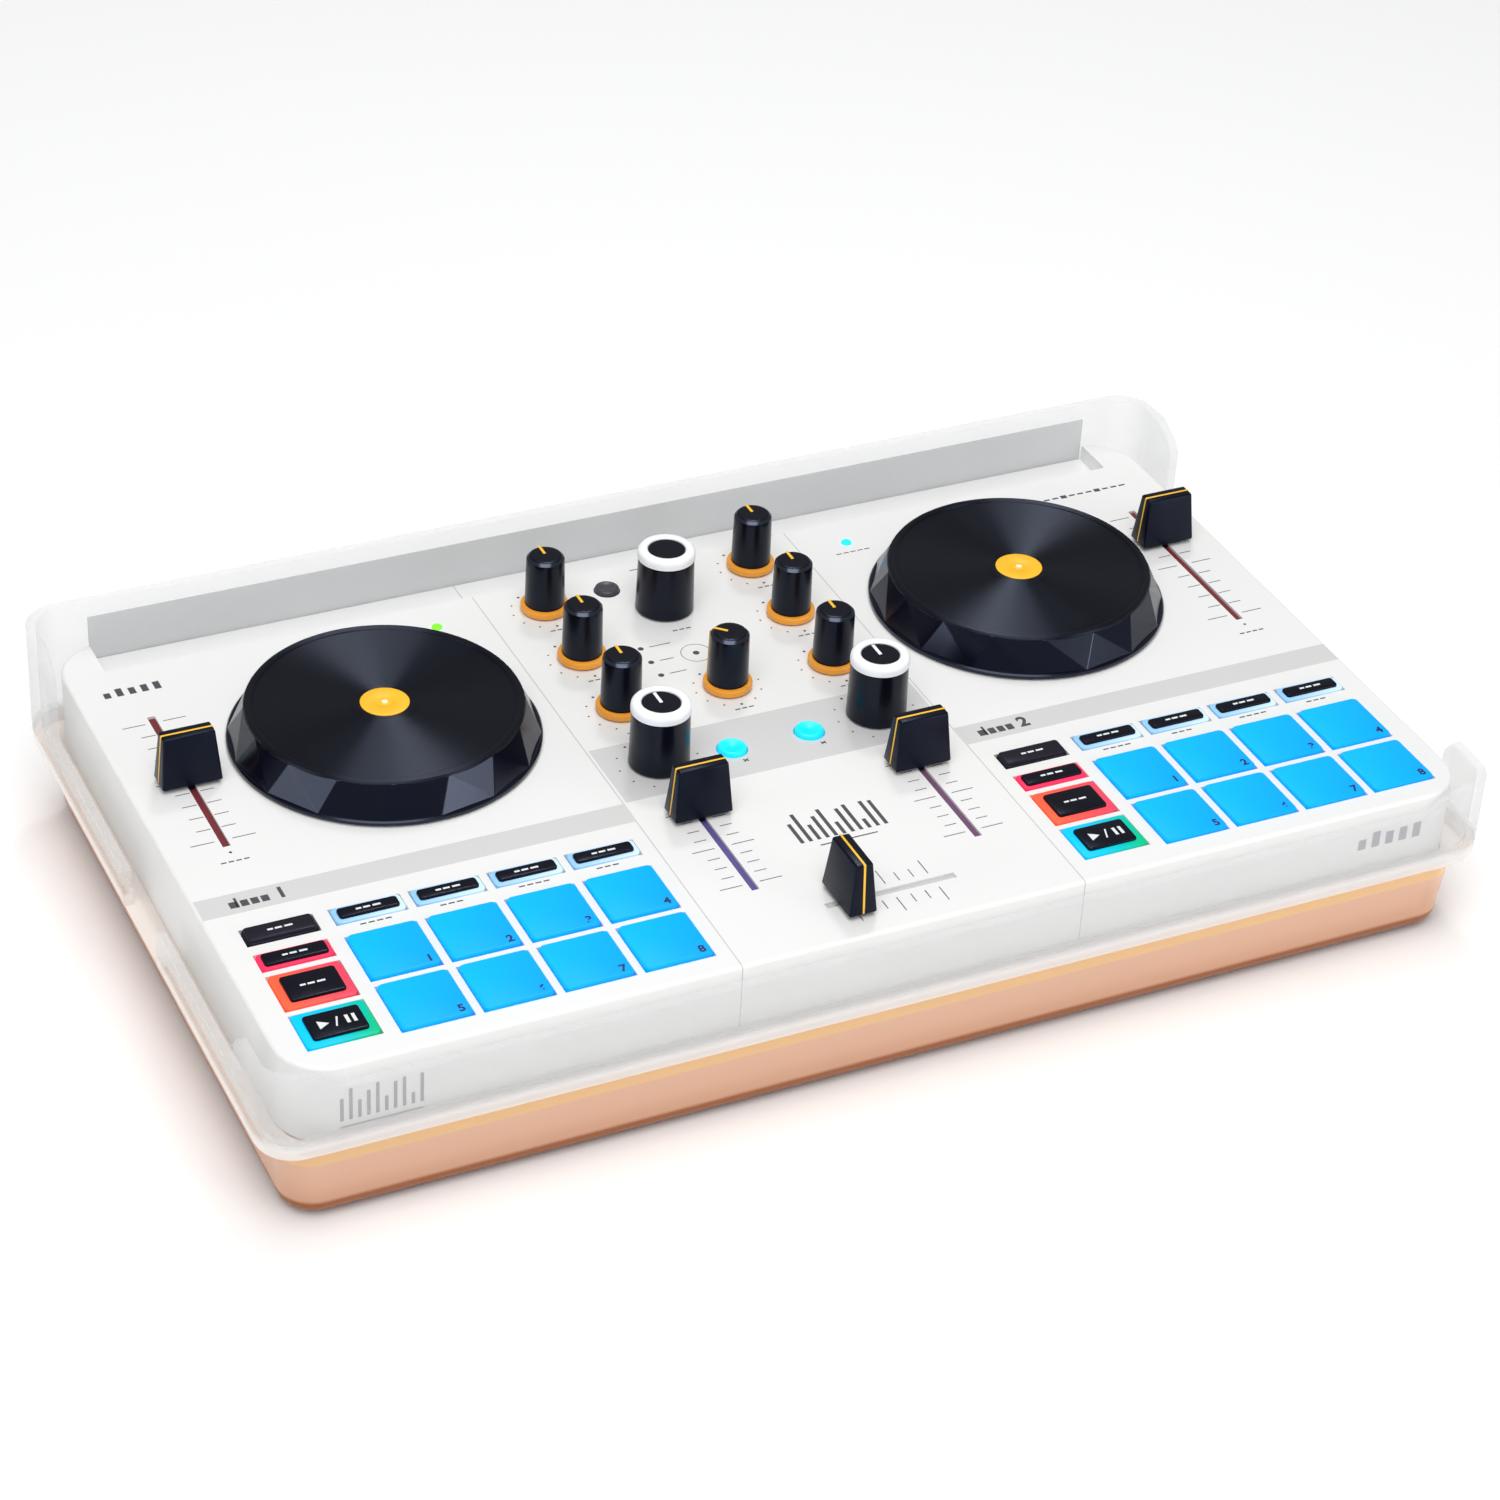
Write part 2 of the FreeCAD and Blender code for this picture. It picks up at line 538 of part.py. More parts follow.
# ---- circuit board with everything that is soldered to it ---------------------------------------
board_body = new_body("board_blank", y="Sizes.board_y")
block(board_body, "Sizes.board_low", "Sizes.board_low + Sizes.board_thick", "Sizes.board_width",
      "Sizes.board_depth", "3")
leds = [rod(f"led_{index}", str(x), str(y), "Sizes.board_low + Sizes.board_thick / 2", "Sizes.led_radius",
            "Sizes.led_high") for index, (x, y) in enumerate(LED_PLACES)]
for index, (x, y) in enumerate(LED_PLACES):
    cutters.append(rod(f"led_hole_{index}", str(x), str(y), "Sizes.groove_floor",
                       "Sizes.led_radius + Sizes.gap / 2", "Sizes.plate_top + 1"))

socket_middle = "(Sizes.socket_left + Sizes.socket_right) / 2"
socket_length = "Sizes.socket_right - Sizes.socket_left"
board_top = "Sizes.board_low + Sizes.board_thick"
usb_body = box("usb_body", socket_middle, "Sizes.usb_y", "Sizes.board_low + Sizes.board_thick / 2",
               socket_length, "Sizes.usb_width", "Sizes.usb_high")
usb_mouth = box("usb_mouth", f"{socket_middle} + 1.5", "Sizes.usb_y", f"{board_top} + 0.4",
                f"{socket_length} - 3", "Sizes.usb_width - 0.8", "Sizes.usb_high - 0.4")
usb_tongue = box("usb_tongue", f"{socket_middle} - 0.5", "Sizes.usb_y", f"{board_top} + 1.4",
                 f"{socket_length} - 3", "Sizes.usb_width - 2.6", "Sizes.usb_high - 1.4")
audio_body = box("audio_body", socket_middle, "Sizes.audio_y", "Sizes.board_low + Sizes.board_thick / 2",
                 socket_length, "Sizes.audio_width", "Sizes.audio_high")
audio_hole = rod("audio_hole", "0", "Sizes.audio_y", "0", "Sizes.audio_bore", socket_length)
audio_hole.Placement.Rotation = FreeCAD.Rotation(FreeCAD.Vector(0, 1, 0), 90)
audio_hole.setExpression("Placement.Base.x", "Sizes.socket_left + 1.5")
audio_hole.setExpression("Placement.Base.z", f"({board_top} + Sizes.audio_high) / 2")
boss_clearances = [rod(f"boss_clearance_{index}", str(x), str(y), "Sizes.base_low",
                       "Sizes.boss_radius + 2 * Sizes.gap", board_top + " + 1")
                   for index, (x, y) in enumerate(SCREW_PLACES)]
board_solids = together("MultiFuse", "board_solids",
                        [board_body, *pots, *switches, *leds, usb_body, audio_body])
board_holes = together("Compound", "board_holes", [*pot_bores, *boss_clearances, usb_mouth, audio_hole])
bored_board = cut("bored_board", board_solids, board_holes)
parts["main_board"] = together("MultiFuse", "main_board", [bored_board, usb_tongue])


# ---- battery cell: a flat pouch lying on the bottom shell ---------------------------------------
parts["battery_cell"] = new_body("battery_cell", y="Sizes.cell_y")
block(parts["battery_cell"], "Sizes.base_low + Sizes.base_floor", "Sizes.cell_high", "Sizes.cell_width",
      "Sizes.cell_depth", "2.5")


# ---- top shell: moulded plate with walls, phone groove, bosses and openings ------------------------
top_blank = new_body("top_blank")
under_plate = "Sizes.plate_top - Sizes.plate_thick"
block(top_blank, "Sizes.top_shell_low", "Sizes.plate_top", "Sizes.case_width", "Sizes.case_depth",
      "Sizes.case_corner")
round_edges(top_blank, "Sizes.case_lip",
            lambda edge: min(vertex.Z for vertex in edge.Vertexes) > number("Sizes.plate_top") - 0.01)
hollow(top_blank, "Sizes.top_shell_low", under_plate, "Sizes.case_width - 2 * Sizes.case_wall",
       "Sizes.case_depth - 2 * Sizes.case_wall", "Sizes.case_corner - Sizes.case_wall")
trough_depth = "Sizes.case_depth / 2 - Sizes.groove_front + Sizes.case_wall - 0.5"
block(top_blank, "Sizes.groove_floor - Sizes.plate_thick", under_plate + " + 0.5",
      "Sizes.groove_width + 2 * Sizes.case_wall", trough_depth, "1",
      y=f"Sizes.groove_front - Sizes.case_wall + ({trough_depth}) / 2")
groove_depth = "Sizes.case_depth / 2 - Sizes.groove_front + 2"
hollow(top_blank, "Sizes.groove_floor", "Sizes.plate_top", "Sizes.groove_width", groove_depth, "0.6",
       y=f"Sizes.groove_front + ({groove_depth}) / 2")
disc(top_blank, "Sizes.boss_low", under_plate + " + 0.5", "Sizes.boss_radius", SCREW_PLACES)
bore(top_blank, "Sizes.boss_low", "Sizes.boss_low + Sizes.screw_length",
     "Sizes.screw_radius + Sizes.shaft_gap", SCREW_PLACES)
cutters.append(box("usb_window", "Sizes.case_width / 2", "Sizes.usb_y", "Sizes.board_low",
                   "3 * Sizes.case_wall", "Sizes.usb_width + 2 * Sizes.gap", "Sizes.usb_high + Sizes.gap"))
cutters.append(box("audio_window", "Sizes.case_width / 2", "Sizes.audio_y", "Sizes.board_low",
                   "3 * Sizes.case_wall", "Sizes.audio_width + 2 * Sizes.gap",
                   "Sizes.audio_high + Sizes.gap"))
parts["top_shell"] = cut("top_shell", top_blank, together("Compound", "plate_openings", cutters))


# ---- bottom shell: shallow orange pan with posts for the board and screw bosses --------------------
pan = new_body("bottom_shell")
pan_floor = "Sizes.base_low + Sizes.base_floor"
block(pan, "Sizes.base_low", "Sizes.base_high", "Sizes.base_width", "Sizes.base_depth", "Sizes.base_corner")
hollow(pan, pan_floor, "Sizes.base_high", "Sizes.base_width - 2 * Sizes.base_wall",
       "Sizes.base_depth - 2 * Sizes.base_wall", "Sizes.base_corner - Sizes.base_wall")
disc(pan, pan_floor, "Sizes.base_boss_high", "Sizes.boss_radius + 1", SCREW_PLACES)
disc(pan, pan_floor, "Sizes.board_low", "Sizes.post_radius", POST_PLACES)
disc(pan, "Sizes.base_low - Sizes.base_foot", "Sizes.base_low", "Sizes.base_foot_radius",
     [(x, y) for x in (-140, 140) for y in (-80, 80)])
bore(pan, "Sizes.base_low - 1", "Sizes.base_boss_high", "Sizes.screw_radius + Sizes.gap / 2", SCREW_PLACES)
bore(pan, "Sizes.base_low - 1", "Sizes.screw_seat", "Sizes.screw_head_radius + Sizes.gap", SCREW_PLACES)
parts["bottom_shell"] = pan


# ---- case screws: six alike, driven from below ---------------------------------------------------
screws = []
for index, (x, y) in enumerate(SCREW_PLACES):
    screw = new_body(f"screw_{index + 1}", str(x), str(y))
    turn(screw, [
        ("0", "Sizes.screw_seat - Sizes.screw_head"),
        ("Sizes.screw_head_radius", "Sizes.screw_seat - Sizes.screw_head"),
        ("Sizes.screw_head_radius", "Sizes.screw_seat"), ("Sizes.screw_radius", "Sizes.screw_seat"),
        ("Sizes.screw_radius", "Sizes.screw_seat + Sizes.screw_length"),
        ("0", "Sizes.screw_seat + Sizes.screw_length"),
    ])
    screws.append(screw)
parts["case_screws"] = together("Compound", "case_screws", screws)


# ---- tray: tapered pan, ledge that carries the casing, and a wall with ears at the corners -----------
tray = new_body("stand_tray")
taper(tray, "AdditiveLoft", "Sizes.tray_low", "Sizes.ledge_low",
      ("Sizes.tray_base_width", "Sizes.tray_base_depth"),
      ("Sizes.tray_waist_width", "Sizes.tray_waist_depth"),
      "Sizes.tray_base_corner", "Sizes.tray_base_corner")
block(tray, "Sizes.ledge_low", "Sizes.back_rim", "Sizes.tray_width", "Sizes.tray_depth", "Sizes.tray_corner")
round_edges(tray, "Sizes.tray_base_fillet",
            lambda edge: max(vertex.Z for vertex in edge.Vertexes) < number("Sizes.tray_low") + 0.01)
ledge_edge = number("Sizes.ledge_low")


def on_ledge_outline(edge):
    """True for the outer lower edges of the ledge: those that lie beyond the tray's waist."""
    level = all(abs(vertex.Z - ledge_edge) < 0.01 for vertex in edge.Vertexes)
    beyond_x = max(abs(vertex.X) for vertex in edge.Vertexes) > number("Sizes.tray_waist_width") / 2 + 1
    beyond_y = max(abs(vertex.Y) for vertex in edge.Vertexes) > number("Sizes.tray_waist_depth") / 2 + 1
    return level and (beyond_x or beyond_y)


round_edges(tray, "Sizes.ledge_fillet", on_ledge_outline)
hollow(tray, "Sizes.ledge_top", "Sizes.back_rim", "Sizes.tray_width - 2 * Sizes.tray_wall",
       "Sizes.tray_depth - 2 * Sizes.tray_wall", "Sizes.tray_corner - Sizes.tray_wall")
taper(tray, "SubtractiveLoft", "Sizes.tray_low + Sizes.tray_floor", "Sizes.ledge_top",
      ("Sizes.well_base_width", "Sizes.well_base_depth"), ("Sizes.well_top_width", "Sizes.well_top_depth"),
      "Sizes.well_corner", "Sizes.well_corner")
beyond = "Sizes.tray_depth"
above = "Sizes.back_rim + 5"
cut_across(tray, "YZ_Plane", [
    (f"-{beyond}", "Sizes.ear_rim"), ("Sizes.front_ear_back - 3", "Sizes.ear_rim"),
    ("Sizes.front_ear_back", "Sizes.ear_rim - 4"), ("Sizes.front_ear_back + 1", "Sizes.side_rim"),
    ("Sizes.notch_front", "Sizes.side_rim"), ("Sizes.notch_front", "Sizes.ledge_top"),
    ("Sizes.notch_back", "Sizes.ledge_top"), ("Sizes.notch_back", "Sizes.side_rim"),
    ("Sizes.back_ear_front", "Sizes.side_rim"), ("Sizes.back_ear_front", "Sizes.back_rim - 7"),
    ("Sizes.back_ear_front + 3", "Sizes.back_rim - 3"), ("Sizes.back_ear_front + 10", "Sizes.back_rim"),
    ("Sizes.back_ear_front + 10", above), (f"-{beyond}", above),
])
front_face = new_sketch(tray, "XZ_Plane", level="Sizes.tray_depth / 2")
draw_polygon(front_face, [
    ("-Sizes.ear_ramp_end", above), ("-Sizes.ear_ramp_end", "Sizes.ear_rim"),
    ("-Sizes.ear_ramp_start", "Sizes.front_rim"), ("Sizes.ear_ramp_start", "Sizes.front_rim"),
    ("Sizes.ear_ramp_end", "Sizes.ear_rim"), ("Sizes.ear_ramp_end", above),
])
cut_pocket(tray, front_face, "0", "4 * Sizes.tray_wall")
parts["stand_tray"] = tray


# ---- tray feet: four rubber discs under the tray -------------------------------------------------
feet = [rod("tray_foot", f"{side_x} * Sizes.foot_x", f"{side_y} * Sizes.foot_y", "0", "Sizes.foot_radius",
            "Sizes.tray_low") for side_x in (-1, 1) for side_y in (-1, 1)]
parts["tray_feet"] = together("Compound", "tray_feet", feet)


# ---- check and write --------------------------------------------------------------------------
doc.recompute()
for item in doc.Objects:
    if "Invalid" in item.State or "Error" in item.State:
        raise ValueError(f"{item.Label} failed: {item.State}")
os.makedirs("parts", exist_ok=True)
for name, part in parts.items():
    shape = part.Shape
    if shape.isNull() or not shape.isValid() or not shape.Solids:
        raise ValueError(f"{name} is not a valid solid")
    shape.exportStep(os.path.join("parts", name + ".step"))
    print(name, len(shape.Solids), round(shape.Volume, 1))
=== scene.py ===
import math

import bpy
from mathutils import Matrix, Vector


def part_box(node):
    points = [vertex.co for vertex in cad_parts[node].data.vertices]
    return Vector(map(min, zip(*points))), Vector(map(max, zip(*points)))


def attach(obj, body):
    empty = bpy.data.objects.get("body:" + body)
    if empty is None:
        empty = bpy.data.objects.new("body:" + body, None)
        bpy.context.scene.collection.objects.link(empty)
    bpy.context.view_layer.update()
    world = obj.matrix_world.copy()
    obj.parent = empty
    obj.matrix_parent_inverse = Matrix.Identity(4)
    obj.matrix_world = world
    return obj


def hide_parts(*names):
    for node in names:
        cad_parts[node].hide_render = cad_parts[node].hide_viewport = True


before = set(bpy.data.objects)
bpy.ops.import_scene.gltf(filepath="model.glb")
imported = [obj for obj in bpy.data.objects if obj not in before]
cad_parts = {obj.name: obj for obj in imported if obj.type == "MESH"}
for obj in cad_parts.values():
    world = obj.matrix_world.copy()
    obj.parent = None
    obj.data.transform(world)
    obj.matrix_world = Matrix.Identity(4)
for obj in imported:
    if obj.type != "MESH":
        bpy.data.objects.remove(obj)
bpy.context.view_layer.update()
MM = 0.001


# ---- camera ------------------------------------------------------------------------------
# A long lens looks down over the left front corner, rolled a few degrees, at the middle of the plate.
camera_turn = math.radians(-26.888)
camera_height = math.radians(34.714)
camera_roll = math.radians(3.349)
plate_top = 49 * MM
look_at = Vector((-7.358 * MM, -13.402 * MM, plate_top))
camera_distance = 1087.124 * MM

back = Vector((math.sin(camera_turn) * math.cos(camera_height),
               -math.cos(camera_turn) * math.cos(camera_height), math.sin(camera_height)))
right = Vector((math.cos(camera_turn), math.sin(camera_turn), 0))
up = back.cross(right)
rolled_right = right * math.cos(camera_roll) + up * math.sin(camera_roll)
rolled_up = up * math.cos(camera_roll) - right * math.sin(camera_roll)
camera_data = bpy.data.cameras.new("camera")
camera_data.lens = 94.81
camera_data.sensor_width = 36
camera = bpy.data.objects.new("camera", camera_data)
axes = Matrix((rolled_right, rolled_up, back)).transposed()
camera.matrix_world = Matrix.Translation(look_at + back * camera_distance) @ axes.to_4x4()
bpy.context.scene.collection.objects.link(camera)
bpy.context.scene.camera = camera
bpy.context.scene.view_settings.view_transform = "Standard"


# ---- floor and studio light ----------------------------------------------------------------
# White paper under two large softboxes. Two low strips light the walls and draw highlights on the dark
# parts, and a small lamp behind the controller brings out the grooves of the records.
bpy.ops.object.select_all(action="DESELECT")
bpy.ops.mesh.primitive_plane_add(size=12, location=(0, 0, 0))
floor = bpy.context.object
floor.name = "floor"
paper = bpy.data.materials.new("white_paper")
paper.use_nodes = True
paper_shader = paper.node_tree.nodes["Principled BSDF"]
paper_shader.inputs["Base Color"].default_value = (0.93, 0.93, 0.93, 1)
paper_shader.inputs["Roughness"].default_value = 0.9
floor.data.materials.append(paper)

world = bpy.data.worlds.new("studio")
bpy.context.scene.world = world
world.use_nodes = True
sky = world.node_tree.nodes["Background"]
sky.inputs["Color"].default_value = (0.97, 0.98, 1, 1)
sky.inputs["Strength"].default_value = 0.27


def softbox(name, place, width, length, power):
    """A rectangular area light aimed at the controller."""
    light = bpy.data.lights.new(name, "AREA")
    light.shape = "RECTANGLE"
    light.size = width
    light.size_y = length
    light.energy = power
    lamp = bpy.data.objects.new(name, light)
    lamp.location = place
    lamp.rotation_euler = (look_at - Vector(place)).to_track_quat("-Z", "Y").to_euler()
    bpy.context.scene.collection.objects.link(lamp)


softbox("key_light", (-0.5, -0.9, 1.7), 1.6, 1.6, 27)
softbox("overhead_light", (0.1, 0.2, 2.0), 1.2, 1.2, 11)
softbox("left_strip", (-1.4, -0.1, 0.28), 0.6, 0.45, 2.6)
softbox("right_strip", (0.8, -1.15, 0.28), 0.6, 0.45, 4.4)
softbox("groove_light", (0.45, 0.9, 1.6), 0.25, 0.25, 5.0)


# ---- parts inside the casing ----------------------------------------------------------------
# Circuit board, zinc-plated fader rails, battery pouch and screws, and the rubber feet of the tray: their
# CAD shapes are kept and only get their finish.
def moulded(name, colour, roughness, grain, depth, metallic=0.0, shift=0.06, sheen=0.5):
    """A finish with a fine grain of that size in metres, and colour and gloss that drift a little."""
    material = bpy.data.materials.new(name)
    material.use_nodes = True
    nodes = material.node_tree.nodes
    links = material.node_tree.links
    shader = nodes["Principled BSDF"]
    shader.inputs["Metallic"].default_value = metallic
    shader.inputs["Specular IOR Level"].default_value = sheen
    place = nodes.new("ShaderNodeTexCoord")
    fine = nodes.new("ShaderNodeTexNoise")
    fine.inputs["Scale"].default_value = 1 / grain
    fine.inputs["Detail"].default_value = 4
    broad = nodes.new("ShaderNodeTexNoise")
    broad.inputs["Scale"].default_value = 45
    for noise in (fine, broad):
        links.new(place.outputs["Object"], noise.inputs["Vector"])
    tone = nodes.new("ShaderNodeMix")
    tone.data_type = "RGBA"
    tone.inputs["A"].default_value = (*[c * (1 - shift) for c in colour], 1)
    tone.inputs["B"].default_value = (*[min(1, c * (1 + shift)) for c in colour], 1)
    links.new(broad.outputs["Fac"], tone.inputs["Factor"])
    links.new(tone.outputs["Result"], shader.inputs["Base Color"])
    gloss = nodes.new("ShaderNodeMapRange")
    gloss.inputs["To Min"].default_value = roughness * 0.8
    gloss.inputs["To Max"].default_value = min(1, roughness * 1.2)
    links.new(fine.outputs["Fac"], gloss.inputs["Value"])
    links.new(gloss.outputs["Result"], shader.inputs["Roughness"])
    bump = nodes.new("ShaderNodeBump")
    bump.inputs["Strength"].default_value = 0.5
    bump.inputs["Distance"].default_value = depth
    links.new(fine.outputs["Fac"], bump.inputs["Height"])
    links.new(bump.outputs["Normal"], shader.inputs["Normal"])
    return material


def dress(node, material):
    """Give a CAD node its finish."""
    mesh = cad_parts[node].data
    mesh.materials.clear()
    mesh.materials.append(material)


dress("main_board", moulded("solder_resist", (0.01, 0.16, 0.07), 0.35, 0.6 * MM, 0.02 * MM))
dress("fader_rails", moulded("zinc_plate", (0.6, 0.61, 0.63), 0.35, 0.9 * MM, 0.01 * MM, metallic=1.0))
dress("battery_cell", moulded("pouch_foil", (0.7, 0.71, 0.73), 0.3, 3 * MM, 0.05 * MM, metallic=1.0))
dress("case_screws", moulded("black_zinc", (0.06, 0.06, 0.07), 0.35, 0.5 * MM, 0.01 * MM, metallic=1.0))
dress("tray_feet", moulded("foot_rubber", (0.02, 0.02, 0.02), 0.8, 0.4 * MM, 0.03 * MM))


# ---- bottom shell ---------------------------------------------------------------------------
# Shallow pan moulded in orange plastic, screwed under the white shell. Its CAD shape is kept; a thin
# orange edge of it shows above the tray's ledge.
dress("bottom_shell", moulded("casing_orange", (0.95, 0.46, 0.16), 0.45, 0.35 * MM, 0.02 * MM))


# ---- top shell ------------------------------------------------------------------------------
# White moulded plate and walls. Light grey bands are printed across both decks and the mixer, and two
# fine seams part the plate in three; the finish draws both from the shell's own coordinates.
def node_math(nodes, links, operation, first, second=None):
    """A math node; its inputs are sockets or plain numbers."""
    node = nodes.new("ShaderNodeMath")
    node.operation = operation
    for index, value in enumerate((first, second)):
        if value is None:
            continue
        if isinstance(value, (int, float)):
            node.inputs[index].default_value = value
        else:
            links.new(value, node.inputs[index])
    return node.outputs[0]


def between(nodes, links, value, low, high):
    """1 where value lies between low and high, else 0."""
    above = node_math(nodes, links, "GREATER_THAN", value, low)
    below = node_math(nodes, links, "LESS_THAN", value, high)
    return node_math(nodes, links, "MULTIPLY", above, below)


def mixed(nodes, links, factor, first, second):
    """A colour between two colours; each is a socket or three numbers."""
    blend = nodes.new("ShaderNodeMix")
    blend.data_type = "RGBA"
    links.new(factor, blend.inputs["Factor"])
    for socket, colour in (("A", first), ("B", second)):
        if isinstance(colour, tuple):
            blend.inputs[socket].default_value = (*colour, 1)
        else:
            links.new(colour, blend.inputs[socket])
    return blend.outputs["Result"]


casing_white = moulded("casing_white", (0.80, 0.802, 0.79), 0.42, 0.3 * MM, 0.012 * MM, shift=0.01)
band_grey = (0.62, 0.615, 0.61)
seam_grey = (0.52, 0.52, 0.52)
seam = 50 * MM
seam_half_width = 0.16 * MM
mixer_band_side = seam - 0.9 * MM
mixer_band_y = (-24 * MM, 2 * MM)
deck_band_side = (seam + 0.3 * MM, 171.2 * MM)
deck_band_y = (-32.8 * MM, -24.2 * MM)
nodes = casing_white.node_tree.nodes
links = casing_white.node_tree.links
shader = nodes["Principled BSDF"]
split = nodes.new("ShaderNodeSeparateXYZ")
links.new(nodes["Texture Coordinate"].outputs["Object"], split.inputs["Vector"])
side = node_math(nodes, links, "ABSOLUTE", split.outputs["X"])
on_plate = node_math(nodes, links, "GREATER_THAN", split.outputs["Z"], plate_top - 0.05 * MM)
mixer_band = node_math(nodes, links, "MULTIPLY", between(nodes, links, side, -1.0, mixer_band_side),
                       between(nodes, links, split.outputs["Y"], *mixer_band_y))
deck_band = node_math(nodes, links, "MULTIPLY", between(nodes, links, side, *deck_band_side),
                      between(nodes, links, split.outputs["Y"], *deck_band_y))
bands = node_math(nodes, links, "MAXIMUM", mixer_band, deck_band)
printed = mixed(nodes, links, node_math(nodes, links, "MULTIPLY", bands, on_plate),
                nodes["Mix"].outputs["Result"], band_grey)
from_seam = node_math(nodes, links, "ABSOLUTE", node_math(nodes, links, "SUBTRACT", side, seam))
seam_line = node_math(nodes, links, "LESS_THAN", from_seam, seam_half_width)
seamed = mixed(nodes, links, seam_line, printed, seam_grey)
links.new(seamed, shader.inputs["Base Color"])
dress("top_shell", casing_white)


# ---- printed marks on the plate ----------------------------------------------------------------
# Dark grey ink on the plate: fader scales, dots round the knobs, short bars in place of words, numerals
# for the decks and a row of level bars in the middle. Each mark is a film of ink a few hundredths thick.
ink = moulded("plate_ink", (0.06, 0.06, 0.07), 0.5, 0.3 * MM, 0.005 * MM)
ink_film = 0.03 * MM


def select_only(piece):
    """Leave the piece as the only selected object, and make it active."""
    bpy.ops.object.select_all(action="DESELECT")
    piece.select_set(True)
    bpy.context.view_layer.objects.active = piece


def middle(node):
    """Centre of a CAD node, seen from above, and its highest level."""
    low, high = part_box(node)
    return (low.x + high.x) / 2, (low.y + high.y) / 2, high.z


def fit(piece, name, body, material=None, smooth=32):
    """Name a finished piece, put its place into its mesh, smooth it and let it ride on its body."""
    piece.name = name
    piece.data.name = name
    if material:
        piece.data.materials.clear()
        piece.data.materials.append(material)
    select_only(piece)
    bpy.ops.object.transform_apply(location=True, rotation=True, scale=True)
    if smooth:
        bpy.ops.object.shade_smooth_by_angle(angle=math.radians(smooth))
    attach(piece, body)
    return piece


def bar(x, y, width, depth, turn=0.0, z=plate_top):
    """Add one bar of ink to the mesh being edited."""
    bpy.ops.mesh.primitive_cube_add(size=1, location=(x, y, z), rotation=(0, 0, turn),
                                    scale=(width, depth, 2 * ink_film))


def dot(x, y, radius, z=plate_top):
    """Add one dot of ink to the mesh being edited."""
    bpy.ops.mesh.primitive_cylinder_add(vertices=10, radius=radius, depth=2 * ink_film, location=(x, y, z))


def box_piece(place, size, turn=(0, 0, 0)):
    """A box of that size at a place, with its place in its mesh."""
    bpy.ops.object.select_all(action="DESELECT")
    bpy.ops.mesh.primitive_cube_add(size=1, location=place, rotation=turn, scale=size)
    piece = bpy.context.object
    bpy.ops.object.transform_apply(location=True, rotation=True, scale=True)
    return piece


def scale_step(x, y, inner, outer):
    """One step of a fader's scale: a tick on each side of its slot, from inner to outer millimetres."""
    for way in (-1, 1):
        bar(x + way * (inner + outer) / 2 * MM, y, (outer - inner) * MM, tick)


def word(x, y, offsets, length, height):
    """Short bars in place of a word; offsets from x, length and height are in millimetres."""
    for offset in offsets:
        bar(x + offset * MM, y, length * MM, height * MM)


DECKS = (("left", -1), ("right", 1))
tick = 0.28 * MM
marks = box_piece((0, 83 * MM, plate_top), (3 * MM, 0.35 * MM, 2 * ink_film))
bpy.ops.object.mode_set(mode="EDIT")

pitch_x, pitch_y, pitch_step = 155, 28.1, 5.85
for _, sign in DECKS:
    x = sign * pitch_x * MM
    for step in range(11):
        reach = (2.5, 9) if step % 5 == 0 else (1.5, 5.5)
        scale_step(x, (pitch_y + (step - 5) * pitch_step) * MM, *reach)
    dot(x, -7 * MM, 0.45 * MM)
    word(x, -11 * MM, (-3.2, -1.1, 1.0, 3.1), 1.5, 0.5)

volume_x, volume_y, volume_step = 33, -51.6, 4.375
for _, sign in DECKS:
    for step in range(9):
        reach = (2.5, 9) if step % 4 == 0 else (3, 6.5)
        scale_step(sign * volume_x * MM, (volume_y + (step - 4) * volume_step) * MM, *reach)

cross_y = middle("crossfader")[1]
cross_step = 4.2 * MM
cross_gap = 3.2
for step in range(-3, 4):
    height = 6 if step % 3 == 0 else 3.6
    for way in (-1, 1):
        bar(step * cross_step, cross_y + way * (cross_gap + height / 2) * MM, tick, height * MM)

small_knobs = [f"{tone_name}_knob_{deck}" for tone_name in ("low", "mid", "high") for deck, _ in DECKS]
small_knobs.append("centre_knob")
dotted = [(name, 9.6) for name in small_knobs] + [(f"filter_knob_{deck}", 11.6) for deck, _ in DECKS]
for name, reach in dotted:
    x, y, _ = middle(name)
    for step in range(11):
        angle = math.radians(-240 + step * 30)
        size = 0.3 if step % 5 else 0.42
        dot(x + reach * MM * math.cos(angle), y + reach * MM * math.sin(angle), size * MM)
for name in small_knobs + ["browse_encoder"]:
    x, y, _ = middle(name)
    reach = 11.6 if name != "browse_encoder" else 12.4
    word(x, y - reach * MM, (-2.1, 0, 2.1), 1.5, 0.45)

for deck, _ in DECKS:
    x, y, _ = middle(f"load_button_{deck}")
    for turn in (35, -35):
        bar(x + 1.4 * MM, y - 6.2 * MM, 1.8 * MM, 0.4 * MM, math.radians(turn))
word(60.5 * MM, 69.5 * MM, (0, 2.3, 4.6, 6.9, 9.2), 1.7, 0.4)
for deck, _ in DECKS:
    for number in range(1, 5):
        x, y, _ = middle(f"mode_button_{deck}_{number}")
        word(x, y - 5.1 * MM, (-3.2, -0.9, 1.4, 3.7)[:4 if number % 2 else 3], 1.7, 0.5)

